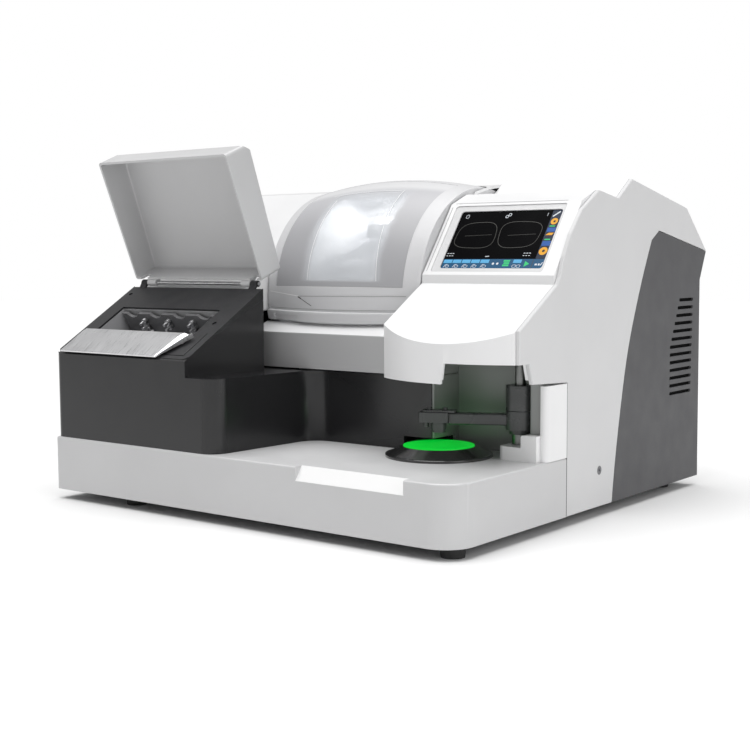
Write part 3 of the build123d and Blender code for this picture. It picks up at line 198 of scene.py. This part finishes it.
def worn_edges(s, colour, lighter, roughness):
    """Sharp edges polish a little lighter, and broad faces vary slowly in tone and gloss."""
    pointy = s.node("NewGeometry").outputs["Pointiness"]
    edge = s.spread(pointy, 0.0, 1.0, 0.52, 0.60)
    patch = s.noise(9.0, 4.0)
    base = s.blend(s.spread(patch, 0.0, 1.0), shade(colour, 0.972), shade(colour, 1.02))
    s.link(s.blend(s.math("MULTIPLY", edge, 0.5), base, shade(lighter, 1.0)), "Base Color")
    s.link(s.spread(s.noise(30.0, 5.0), roughness * 0.88, roughness * 1.14), "Roughness")


def moulded(name, colour, roughness, grain=0.0, coat=0.0, lighter=None, band=None, specular=0.5):
    """Injection-moulded plastic: fine spark-eroded grain over a slow waviness."""
    s = Shader(name)
    worn_edges(s, colour, lighter or shade(colour, 1.15), roughness)
    if band:
        painted = s.principled.inputs["Base Color"].links[0].from_socket
        s.link(s.blend(front_band(s), painted, band), "Base Color")
    s.set(Coat_Weight=coat, Coat_Roughness=0.18, Specular_IOR_Level=specular)
    if grain:
        fine = s.noise(1400.0, 2.0)
        s.bump(s.math("ADD", fine, s.math("MULTIPLY", s.noise(60.0, 2.0), 0.6)), grain, 0.6)
    else:
        s.bump(s.noise(45.0, 2.0), 0.00003, 0.35)
    return s


def front_band(s):
    """1 on the grey band across the middle of the front, under the ledge, and 0 elsewhere."""
    x, y, z = (s.node("SeparateXYZ", {"Vector": s.place}).outputs[k] for k in "XYZ")
    low = s.fade(z, BAND_TOP + 0.001, BAND_TOP - 0.001)
    inside = s.math("MULTIPLY", s.fade(y, BAND_Y + 0.0006, BAND_Y), low)
    inside = s.math("MULTIPLY", inside, s.fade(x, BAND_RIGHT + 0.0005, BAND_RIGHT - 0.0005))
    return s.math("MULTIPLY", inside, s.fade(x, BAND_LEFT - 0.0005, BAND_LEFT + 0.0005))


def notch_face(s):
    """1 on the tray's sloping finger notch, where the base finish paints a highlight, and 0 elsewhere."""
    x, y, z = (s.node("SeparateXYZ", {"Vector": s.place}).outputs[k] for k in "XYZ")
    above = s.math("SUBTRACT", z, s.math("ADD", s.math("MULTIPLY", y, NOTCH_SLOPE), NOTCH_RISE))
    off = s.math("ABSOLUTE", above, 0.0)
    inside = s.math("MULTIPLY", s.fade(off, 0.0007, 0.0004), s.fade(x, NOTCH_LEFT - 0.001, NOTCH_LEFT))
    return s.math("MULTIPLY", inside, s.fade(x, NOTCH_RIGHT + 0.001, NOTCH_RIGHT))


def powder_coat(name, colour, roughness, notch=None):
    """Baked powder: a fine orange peel, and a painted highlight on the tray's finger notch when notch is
    given.
    """
    s = Shader(name)
    worn_edges(s, colour, shade(colour, 1.12), roughness)
    # the notch is painted pale: a painted highlight on that face
    if notch:
        painted = s.principled.inputs["Base Color"].links[0].from_socket
        s.link(s.blend(notch_face(s), painted, notch), "Base Color")
    s.set(Coat_Weight=0.15, Coat_Roughness=0.3)
    s.bump(s.math("ADD", s.cells(520.0), s.math("MULTIPLY", s.noise(1600.0, 2.0), 0.5)), 0.00006, 0.45)
    return s


def metal(name, colour, roughness, stretch=(1, 1, 1), scale=700.0, depth=0.00001):
    """Bare metal: streaks of the tool or belt along one way."""
    s = Shader(name)
    s.set(Metallic=1.0)
    streak = s.noise(scale, 3.0, stretch)
    s.link(s.blend(s.spread(streak, 0.0, 1.0), shade(colour, 0.86), shade(colour, 1.08)), "Base Color")
    s.link(s.spread(streak, roughness * 0.75, roughness * 1.3), "Roughness")
    s.bump(streak, depth, 0.5)
    return s


def rubber(name, colour, roughness=0.75):
    s = Shader(name)
    worn_edges(s, colour, (0.09, 0.09, 0.09), roughness)
    s.bump(s.noise(900.0, 3.0), 0.00008, 0.7)
    return s


def woven(name, colour):
    """Black dust cloth: a fine square weave."""
    s = Shader(name)
    warp, weft = (s.node("TexWave", {"Vector": s.place, "Scale": 420.0}, bands_direction=way).outputs["Fac"]
                  for way in "YZ")
    thread = s.math("MULTIPLY", warp, weft)
    s.link(s.blend(thread, shade(colour, 0.5), shade(colour, 1.6)), "Base Color")
    s.link(s.spread(thread, 0.9, 0.7), "Roughness")
    s.set(Specular_IOR_Level=0.1)
    s.bump(thread, 0.0001, 0.6)
    return s


def frosted(name, colour):
    """Frosted acrylic: milky, lets light through softly."""
    s = Shader(name)
    s.link(s.blend(s.spread(s.noise(12.0, 3.0), 0, 1), shade(colour, 0.97), shade(colour, 1.02)), "Base Color")
    s.link(s.spread(s.noise(220.0, 3.0), 0.34, 0.46), "Roughness")
    s.set(IOR=1.49, Subsurface_Weight=0.3, Subsurface_Scale=0.008, Subsurface_Radius=(1.0, 1.0, 1.0))
    s.bump(s.noise(1100.0, 2.0), 0.00004, 0.5)
    return s


def lid_pane(name, frost, clear_colour, rim):
    """Acrylic pane laid out round the lid's axis: a pale crown, a frosted border lightened towards the top as
    a painted reflection, and a clear middle.
    """
    s = Shader(name)
    axis = s.node("VectorMath", {0: s.place, 1: LID_AXIS}, operation="SUBTRACT").outputs["Vector"]
    part = s.node("SeparateXYZ", {"Vector": axis})
    x, y, z = (part.outputs[k] for k in "XYZ")
    turn = s.math("ARCTAN2", z, y)
    wander = s.math("MULTIPLY", s.math("SUBTRACT", s.noise(14.0, 3.0), 0.5), 0.02)
    across = s.math("ADD", x, wander)
    clear = s.math("MULTIPLY", s.fade(across, -0.072, -0.040), s.fade(across, 0.078, 0.058))
    clear = s.math("MULTIPLY", clear, s.fade(turn, math.radians(112), math.radians(128)))
    clear = s.math("MULTIPLY", clear, s.fade(turn, math.radians(172.4), math.radians(170.8)))
    top = s.math("ADD", turn, s.math("MULTIPLY", x, 0.55))
    crown = s.fade(top, math.radians(118), math.radians(110))
    # the frosted border turns lighter towards the top: a painted reflection of the bright surround
    upper = s.fade(top, math.radians(146), math.radians(114))
    border = s.blend(crown, s.blend(upper, frost, shade(frost, 1.3)), rim)
    s.link(s.blend(clear, border, clear_colour), "Base Color")
    s.link(s.spread(clear, 0.36, 0.07, 0.0, 1.0), "Roughness")
    s.link(s.spread(clear, 0.95, 0.40, 0.0, 1.0), "Alpha")
    s.set(IOR=1.49)
    s.bump(s.noise(1100.0, 2.0), 0.00003, 0.3)
    return s


def screen_glass(name):
    """Black cover glass with a matt hard coat and faint finger smears in its gloss."""
    s = Shader(name)
    s.link(s.blend(s.noise(8.0, 3.0), (0.0012, 0.0012, 0.0016, 1), (0.0024, 0.0024, 0.003, 1)), "Base Color")
    s.link(s.spread(s.noise(24.0, 5.0), 0.16, 0.30), "Roughness")
    s.set(Specular_IOR_Level=0.015)
    s.bump(s.noise(700.0, 1.0), 0.00001, 0.2)
    return s


def glowing(name, colour, strength):
    """A lit plate: an even glow with a slight drift in tone."""
    s = Shader(name)
    s.set(Roughness=0.35, Emission_Strength=strength, Base_Color=shade(colour, 0.6))
    glow = s.spread(s.noise(30.0, 3.0), 0.0, 1.0)
    s.link(s.blend(glow, shade(colour, 0.9), shade(colour, 1.06)), "Emission Color")
    s.bump(s.noise(900.0, 2.0), 0.00002, 0.4)
    return s


# ---------------------------------------------------------------- the record's finishes
WHITE = (0.785, 0.785, 0.79)
BAND_GREY = (0.43, 0.43, 0.435, 1)
# the pale grey painted on the tray's sloping finger notch is a painted highlight
NOTCH_PAINTED_HIGHLIGHT = (0.82, 0.82, 0.82, 1)
FINISHES = {
    "shell_white": moulded("shell_white", WHITE, 0.32, 0.0, 0.12, (0.9, 0.9, 0.9), BAND_GREY),
    "base_grey": powder_coat("base_grey", (0.555, 0.555, 0.56), 0.42, NOTCH_PAINTED_HIGHLIGHT),
    "side_grey": powder_coat("side_grey", (0.62, 0.62, 0.625), 0.42),
    "vent_grey": moulded("vent_grey", (0.082, 0.082, 0.086), 0.55, 0.00008),
    "cover_dark": moulded("cover_dark", (0.011, 0.011, 0.012), 0.22, 0.0, 0.08, (0.05,) * 3, specular=0.42),
    "deck_dark": moulded("deck_dark", (0.022, 0.022, 0.024), 0.46, 0.00006, specular=0.4),
    "well_light": moulded("well_light", (0.40, 0.40, 0.41), 0.5, 0.00004),
    "clamp_silver": metal("clamp_silver", (0.72, 0.72, 0.73), 0.34, (60, 1, 1), 40.0),
    "clamp_dark": moulded("clamp_dark", (0.13, 0.13, 0.135), 0.38, 0.00003),
    "steel": metal("steel", (0.60, 0.60, 0.61), 0.26, (1, 40, 40), 60.0),
    "screw_steel": metal("screw_steel", (0.20, 0.20, 0.21), 0.3),
    "lid_pearl": moulded("lid_pearl", (0.56, 0.56, 0.565), 0.42, 0.0, 0.05, (0.8, 0.8, 0.8)),
    "lid_frost": frosted("lid_frost", (0.62, 0.62, 0.63)),
    "lid_clear": lid_pane("lid_clear", (0.40, 0.40, 0.415, 1), (0.93, 0.96, 1.0, 1), (0.70, 0.70, 0.71, 1)),
    "bezel_white": moulded("bezel_white", (0.60, 0.60, 0.605), 0.3, 0.0, 0.25),
    "screen": screen_glass("screen"),
    "board": moulded("board", (0.02, 0.12, 0.05), 0.4),
    "foot_rubber": rubber("foot_rubber", (0.022, 0.022, 0.022)),
    "black_plastic": moulded("black_plastic", (0.018, 0.018, 0.018), 0.45, 0.00005),
    "bay_green_grey": moulded("bay_green_grey", (0.30, 0.305, 0.30), 0.42, 0.0, 0.1),
    "light_green": glowing("light_green", (0.0, 0.60, 0.035), 0.72),
    "disc_black": moulded("disc_black", (0.014, 0.014, 0.014), 0.16, 0.0, 0.8),
    "column_steel": metal("column_steel", (0.22, 0.225, 0.22), 0.3, (30, 30, 1), 40.0),
    "arm_black": powder_coat("arm_black", (0.050, 0.053, 0.053), 0.28),
    "basin_white": moulded("basin_white", (0.80, 0.80, 0.81), 0.4),
    "chassis_alu": metal("chassis_alu", (0.60, 0.60, 0.62), 0.4),
    "cast_alu": metal("cast_alu", (0.50, 0.50, 0.52), 0.5, (1, 1, 1), 900.0, 0.00006),
    "wheel_rough": metal("wheel_rough", (0.30, 0.25, 0.16), 0.6, (1, 1, 1), 1500.0, 0.0002),
    "wheel_fine": metal("wheel_fine", (0.42, 0.38, 0.30), 0.5, (1, 1, 1), 2200.0, 0.00006),
    "belt_rubber": rubber("belt_rubber", (0.02, 0.02, 0.02)),
    "motor_body": powder_coat("motor_body", (0.06, 0.065, 0.07), 0.45),
    "port_brass": metal("port_brass", (0.72, 0.50, 0.22), 0.3, (1, 60, 1), 40.0),
    "panel_grey": powder_coat("panel_grey", (0.22, 0.225, 0.23), 0.45),
    "screen_mesh": woven("screen_mesh", (0.006, 0.006, 0.006)),
}
for row in frame["record"]["subparts"]:
    node = nodes[row["node"]]
    node.data.materials.clear()
    node.data.materials.append(FINISHES[row["material_slot"]].material)


# ---------------------------------------------------------------- moulded edges on the CAD pieces
def round_edges(name, width, segments=2, angle=34):
    piece = nodes[name]
    weld = piece.modifiers.new("weld", "WELD")
    weld.merge_threshold = 0.01 * MM
    bevel = piece.modifiers.new("bevel", "BEVEL")
    bevel.width = width * MM
    bevel.segments = segments
    bevel.limit_method = "ANGLE"
    bevel.angle_limit = math.radians(angle)
    bevel.harden_normals = False
    smooth = piece.modifiers.new("normals", "WEIGHTED_NORMAL")
    smooth.keep_sharp = True


for name, width in (
    ("upper_shell", 1.2), ("right_side_panel", 0.5), ("left_side_panel", 0.5), ("right_vent_panel", 0.5),
    ("left_vent_panel", 0.5), ("base_pan", 1.0), ("front_cover", 0.9), ("tracer_deck", 0.5),
    ("front_clamp_plate", 0.4), ("rear_clamp_wall", 0.4), ("tracer_lid", 0.8), ("display_bezel", 0.6),
    ("column_cover", 0.6), ("blocker_pedestal", 0.8), ("blocker_base", 0.5), ("blocker_sleeve", 0.6),
    ("blocker_arm", 0.6), ("blocker_head", 0.5), ("light_plate", 0.4), ("chamber_lid_frame", 0.9),
    ("chamber_lid_lip", 0.9), ("carriage_cover", 0.8), ("lens_carriage", 0.8), ("feet", 0.8),
    ("power_inlet", 0.3), ("rear_panel", 0.3), ("fan_frame", 0.4), ("stylus_carriage", 0.4),
):
    round_edges(name, width)


# ---------------------------------------------------------------- the display's picture
SCREEN_TILT = math.radians(53.94)
SCREEN_UP = Vector((0.0, math.cos(SCREEN_TILT), math.sin(SCREEN_TILT)))
SCREEN_OUT = Vector((0.0, -math.sin(SCREEN_TILT), math.cos(SCREEN_TILT)))
GLASS_HALF = 1.2 * MM


def on_screen():
    """Millimetres on the glass, from its middle: right, up the slope, and out of it."""
    low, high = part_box("display_glass")
    middle = (Vector(low) + Vector(high)) / 2 + SCREEN_OUT * GLASS_HALF
    turn = Matrix(((1, 0, 0), SCREEN_UP, SCREEN_OUT)).transposed().to_4x4()
    return Matrix.Translation(middle) @ turn @ Matrix.Scale(MM, 4)


class Drawing:
    """Flat, slightly raised marks of one colour, drawn in a plane in millimetres."""

    def __init__(self, lift=0.12):
        self.mesh = bmesh.new()
        self.lift = lift

    def outline(self, points):
        corners = [self.mesh.verts.new((x, y, self.lift)) for x, y in points]
        self.mesh.faces.new(corners)
        return self

    def tile(self, x0, y0, x1, y1, radius=0.8, steps=4):
        """A rectangle with round corners."""
        radius = min(radius, (x1 - x0) / 2, (y1 - y0) / 2)
        points = []
        for cx, cy, start in ((x1, y1, 0), (x0, y1, 90), (x0, y0, 180), (x1, y0, 270)):
            mx = cx - math.copysign(radius, cx - (x0 + x1) / 2)
            my = cy - math.copysign(radius, cy - (y0 + y1) / 2)
            for i in range(steps + 1):
                a = math.radians(start + 90 * i / steps)
                points.append((mx + radius * math.cos(a), my + radius * math.sin(a)))
        return self.outline(points)

    def disc(self, x, y, radius, steps=24):
        return self.outline([(x + radius * math.cos(2 * math.pi * i / steps),
                              y + radius * math.sin(2 * math.pi * i / steps)) for i in range(steps)])

    def loop(self, points, width):
        """A closed line of even width."""
        inner, outer = [], []
        count = len(points)
        for i, (x, y) in enumerate(points):
            (ax, ay), (bx, by) = points[i - 1], points[(i + 1) % count]
            side = Vector((by - ay, ax - bx)).normalized() * width / 2
            inner.append(self.mesh.verts.new((x - side.x, y - side.y, self.lift)))
            outer.append(self.mesh.verts.new((x + side.x, y + side.y, self.lift)))
        for i in range(count):
            j = (i + 1) % count
            self.mesh.faces.new((inner[i], inner[j], outer[j], outer[i]))
        return self

    def line(self, x0, y0, x1, y1, width):
        side = Vector((y1 - y0, x0 - x1)).normalized() * width / 2
        return self.outline([(x0 + side.x, y0 + side.y), (x1 + side.x, y1 + side.y),
                             (x1 - side.x, y1 - side.y), (x0 - side.x, y0 - side.y)])

    def ribbon(self, points, width):
        """An open line of even width through many points."""
        sides = []
        for i, (x, y) in enumerate(points):
            (ax, ay), (bx, by) = points[max(i - 1, 0)], points[min(i + 1, len(points) - 1)]
            side = Vector((by - ay, ax - bx)).normalized() * width / 2
            sides.append([self.mesh.verts.new((x + k * side.x, y + k * side.y, self.lift)) for k in (-1, 1)])
        for (a, b), (c, d) in zip(sides, sides[1:]):
            self.mesh.faces.new((a, c, d, b))
        return self

    def wrap(self, place):
        """Bends the flat drawing on to a curved surface."""
        for vert in self.mesh.verts:
            vert.co = place(vert.co)
        return self

    def finish(self, name, material, place, body, slot):
        bmesh.ops.recalc_face_normals(self.mesh, faces=self.mesh.faces)
        for face in self.mesh.faces:
            if face.normal.z < 0:
                face.normal_flip()
        mesh = bpy.data.meshes.new(name)
        self.mesh.to_mesh(mesh)
        self.mesh.free()
        mesh.transform(place)
        piece = bpy.data.objects.new(name, mesh)
        scene.collection.objects.link(piece)
        mesh.materials.append(material)
        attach(piece, body)
        return piece


def lens_outline(x, y, half_w, half_h, lean):
    """A spectacle lens: a rounded box that is fuller on its outer, upper side."""
    points = []
    for i in range(56):
        a = 2 * math.pi * i / 56
        c, v = math.cos(a), math.sin(a)
        px = math.copysign(abs(c) ** 0.62, c) * half_w
        py = math.copysign(abs(v) ** 0.62, v) * half_h
        points.append((x + px * (1 + 0.07 * lean * py / half_h), y + py * (1 - 0.05 * lean * px / half_w)))
    return points


def screen_light(name, colour, strength=0.9):
    """Lit pixels: a fine dot pitch over a slow falloff."""
    s = Shader(name)
    s.set(Roughness=0.25, Base_Color=shade(colour, 0.25), Emission_Strength=strength)
    s.set(Specular_IOR_Level=0.2)
    dots = s.spread(s.cells(2600.0), 0.0, 1.0, 0.0, 0.6)
    s.link(s.blend(dots, shade(colour, 0.82), shade(colour, 1.1)), "Emission Color")
    s.bump(s.noise(300.0, 1.0), 0.00001, 0.1)
    return s.material


def draw_screen():
    place = on_screen()
    panel = Drawing(0.06)
    panel.tile(-75.6, -45.2, 75.6, -30.4, 1.5)
    panel.finish("screen_bar", screen_light("lit_navy", (0.004, 0.07, 0.16)), place, "case", "screen")
    column = Drawing(0.06)
    column.tile(61.5, -30.2, 75.6, 45.2, 0.6)
    column.finish("screen_column", screen_light("lit_ink", (0.004, 0.012, 0.035)), place, "case", "screen")

    cyan, white, faint = Drawing(), Drawing(0.16), Drawing()
    green, amber, blue = Drawing(), Drawing(), Drawing()
    for i in range(5):
        x = -74.6 + 14.2 * i
        cyan.tile(x, -36.4, x + 12.9, -31.3, 0.5)
        white.line(x + 2.4, -43.6, x + 4.6, -38.8, 0.7)
        white.line(x + 4.6, -38.8, x + 7.6, -38.8, 0.6)
        white.loop(lens_outline(x + 7.7, -41.6, 2.4 + 0.25 * (i % 3), 1.7, 0), 0.55)
    cyan.tile(31.0, -36.4, 43.0, -31.3, 0.5)
    white.loop(lens_outline(34.2, -41.4, 2.6, 1.9, 0), 0.5)
    white.loop(lens_outline(40.6, -41.4, 2.6, 1.9, 0), 0.5)
    white.disc(2.2, -37.6, 1.7)
    white.disc(8.6, -37.6, 1.7)
    for row in range(3):
        green.tile(16.6 + row % 2, -34.6 - 3.4 * row, 26.0, -32.0 - 3.4 * row, 0.6)
    green.outline([(48.4, -42.2), (48.4, -33.6), (55.4, -37.9)])
    faint.line(59.6, -44.6, 59.6, -31.0, 0.8)

    for side, x in ((-1, -41.0), (1, 24.5)):
        faint.loop(lens_outline(x, 7.6, 30.0, 20.4, side), 0.75)
        faint.line(x - 17, 6.5, x + 24, 8.0, 0.5)
        for y, length in ((-21.5, 11), (-25.2, 9)):
            start = x - 33 if side < 0 else x + 17
            for dash in range(3):
                white.line(start + dash * 4, y, start + dash * 4 + length / 4, y, 0.9)
    white.loop(lens_outline(-65.5, 38.0, 2.2, 2.6, 0), 0.6)
    white.loop(lens_outline(-4.2, 36.6, 1.9, 1.9, 0), 0.8)
    white.loop(lens_outline(-0.6, 39.4, 1.9, 1.9, 0), 0.8)
    white.line(55.6, 41.0, 55.6, 36.0, 0.6)
    white.line(-14.0, -26.5, -8.0, -26.0, 1.0)

    white.line(63.6, 35.0, 72.4, 42.6, 1.9)
    amber.disc(68.4, 27.4, 5.0)
    green.line(64.0, 20.0, 72.0, 20.0, 1.6)
    blue.tile(62.6, 11.2, 74.6, 17.6, 0.8)
    amber.outline([(62.8, 6.0), (66.8, 9.6), (74.0, 9.6), (72.0, 6.0)])
    green.line(64.0, -0.6, 72.0, -0.6, 1.8)
    blue.tile(62.6, -10.4, 74.6, -3.0, 0.8)
    amber.disc(68.4, -18.4, 6.0)
    white.line(63.6, -38.8, 66.8, -38.8, 2.4)
    white.line(68.2, -38.8, 70.6, -38.8, 2.8)
    white.line(71.6, -40.2, 74.0, -35.6, 1.2)
    pupils = Drawing(0.17)
    pupils.disc(68.8, 27.2, 1.7).disc(68.8, -18.2, 2.0)

    for name, drawing, colour in (
        ("screen_tabs", cyan, (0.09, 0.36, 0.62)), ("screen_marks", white, (0.62, 0.66, 0.70)),
        ("screen_lenses", faint, (0.045, 0.045, 0.040)), ("screen_green", green, (0.03, 0.50, 0.16)),
        ("screen_amber", amber, (0.72, 0.34, 0.02)), ("screen_blue", blue, (0.01, 0.08, 0.32)),
        ("screen_pupils", pupils, (0.02, 0.012, 0.004)),
    ):
        drawing.finish(name, screen_light("lit_" + name[7:], colour), place, "case", "screen")


draw_screen()


# ---------------------------------------------------------------- fine lines on the hood and the lid: painted shade in creases, slits and joins, painted highlights along edges
LID_MEAN_R = 158.0
LID_MIDDLE, LID_Y, LID_Z = (1000 * value for value in LID_AXIS)
LID_HALF, LID_CROWN_R, LID_RISE = 133.0, 164.5, 14.5
LID_BOW = (LID_HALF ** 2 + LID_RISE ** 2) / (2 * LID_RISE)
# the middle of the display facet's top edge, the slope behind it, and how far the glass lies below the facet
CREST_EDGE, CREST_LEAN, GLASS_DEPTH = (236.0, -36.5, 406.0), math.atan2(14.3, 35.5), 2.7


def on_lid(mark):
    """Wraps (x, arc length from the back, lift) in millimetres round the rolling lid."""
    radius = LID_CROWN_R - LID_BOW + math.sqrt(LID_BOW ** 2 - (mark.x - LID_MIDDLE) ** 2) + mark.z
    turn = mark.y / LID_MEAN_R
    return Vector((mark.x, LID_Y + radius * math.cos(turn), LID_Z + radius * math.sin(turn)))


def lid_points(x0, degrees0, x1, degrees1, steps=24):
    """Evenly spaced points between two places on the lid."""
    start, stop = (math.radians(a) * LID_MEAN_R for a in (degrees0, degrees1))
    return [(x0 + (x1 - x0) * i / steps, start + (stop - start) * i / steps) for i in range(steps + 1)]


def painted_light_line(name, tone):
    """A flat painted line: painted shade of a groove, crease or slit, or a painted highlight along an edge, by
    its tone.
    """
    s = Shader(name)
    s.link(s.blend(s.noise(60.0, 3.0), (tone * 0.92,) * 3 + (1,), (tone * 1.08,) * 3 + (1,)), "Base Color")
    s.link(s.spread(s.noise(200.0, 2.0), 0.5, 0.65), "Roughness")
    s.set(Specular_IOR_Level=0.2)
    s.bump(s.noise(900.0, 2.0), 0.00002, 0.3)
    return s.material


def draw_lines():
    scale = Matrix.Scale(MM, 4)
    # grey and dark are painted shade; pale is a painted highlight
    tones = (("grey", 0.34), ("dark", 0.05), ("pale", 0.85))
    shaded, dark, painted_highlight = (painted_light_line("painted_line_" + name, tone) for name, tone in tones)
    # painted shadow lines under the window's sill and across the lid's lip
    sill = Drawing(0.12)
    sill.ribbon(lid_points(-62, 179.4, 118, 178.6), 0.8)
    sill.ribbon(lid_points(-124, 185.6, 130, 185.6), 0.7)
    sill.wrap(on_lid).finish("lid_sill_painted_shadow", shaded, scale, "chamber_lid", "lid_frost")
    # painted highlight along the edges of the clear window
    inner = Drawing(0.1)
    inner.ribbon(lid_points(-50, 124, -47, 171.6), 0.8)
    inner.ribbon(lid_points(54, 115, 72, 171.6), 0.8)
    inner.ribbon(lid_points(-66, 118.5, 50, 116.0), 0.7)
    inner.wrap(on_lid).finish("lid_window_painted_highlight", painted_highlight, scale, "chamber_lid", "lid_clear")
    # painted highlight along the edge of the finger pull
    pull = Drawing(0.18)
    pull.ribbon(lid_points(-124, 177.0, -62, 179.4), 1.1)
    pull.wrap(on_lid).finish("lid_pull_painted_highlight", painted_highlight, scale, "chamber_lid", "lid_frost")
    # painted shade in the finger pull's slit
    slit = Drawing(0.2)
    slit.ribbon(lid_points(-64, 179.6, -58, 180.6, 4), 1.6)
    slit.ribbon(lid_points(-58, 180.6, -38, 184.0, 8), 0.8)
    slit.wrap(on_lid).finish("lid_pull_slit_painted_shade", dark, scale, "chamber_lid", "lid_frost")

    facet = on_screen() @ Matrix.Translation((0, 0, GLASS_DEPTH))
    # painted shade of the groove beside the display's bezel
    side = Drawing(0.1)
    side.ribbon([(-93.6, -51.0 + 4.5 * i) for i in range(24)], 0.9)
    side.finish("hood_side_painted_shade", shaded, facet, "case", "shell_white")
    # painted shade along the crease between the display facet and the crest behind it
    crest = Drawing(0.12)
    crest.ribbon([(-92.0 + 8.5 * i, 2.6) for i in range(21)], 1.6)
    x, y, z = CREST_EDGE
    rise, run = math.sin(CREST_LEAN), math.cos(CREST_LEAN)
    crest.wrap(lambda m: Vector((x + m.x, y + m.y * run - m.z * rise, z + m.y * rise + m.z * run)))
    crest.finish("hood_crest_painted_shade", shaded, scale, "case", "shell_white")


draw_lines()


# ---------------------------------------------------------------- dust screens behind the side vents
def sheet(name, ends, material):
    """A thin upright sheet on the case, from its ranges in X, Y and Z."""
    points = [(x, y, z) for x in sorted(ends[0]) for y in ends[1] for z in ends[2]]
    sides = [(0, 1, 3, 2), (4, 6, 7, 5), (0, 4, 5, 1), (2, 3, 7, 6), (0, 2, 6, 4), (1, 5, 7, 3)]
    mesh = bpy.data.meshes.new(name)
    mesh.from_pydata(points, [], sides)
    piece = bpy.data.objects.new(name, mesh)
    scene.collection.objects.link(piece)
    mesh.materials.append(material)
    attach(piece, "case")


def dust_screen(name, panel, side):
    """A black woven sheet set in behind the mouths of the slits."""
    low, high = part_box(panel)
    x = (low[0] if side > 0 else high[0]) + side * 0.0016
    ranges = ((x, x - side * 0.0012), (0.196, 0.290), (0.132, 0.284))
    sheet(name, ranges, FINISHES["screen_mesh"].material)


dust_screen("right_dust_screen", "right_vent_panel", 1)
dust_screen("left_dust_screen", "left_vent_panel", -1)

# a black strip in the joint between the tray and the right side panel, in the foot rubber's finish: painted
# shadow of the seam gap
seam_y, side_x = -0.0787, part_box("right_side_panel")[1][0]
sheet("side_seam_painted_shadow", ((side_x - 0.003, side_x - 0.00035), (seam_y - 0.0015, seam_y + 0.0015), (0.0145, 0.181)),
      FINISHES["foot_rubber"].material)


# ---------------------------------------------------------------- floor
def make_floor():
    bpy.ops.mesh.primitive_plane_add(size=14.0, location=(0, 0, 0))
    floor = bpy.context.object
    floor.name = "floor"
    s = Shader("floor_paper")
    s.set(Base_Color=(0.80, 0.80, 0.80, 1), Roughness=0.9)
    s.bump(s.noise(400.0, 2.0), 0.00002, 0.2)
    floor.data.materials.append(s.material)


make_floor()
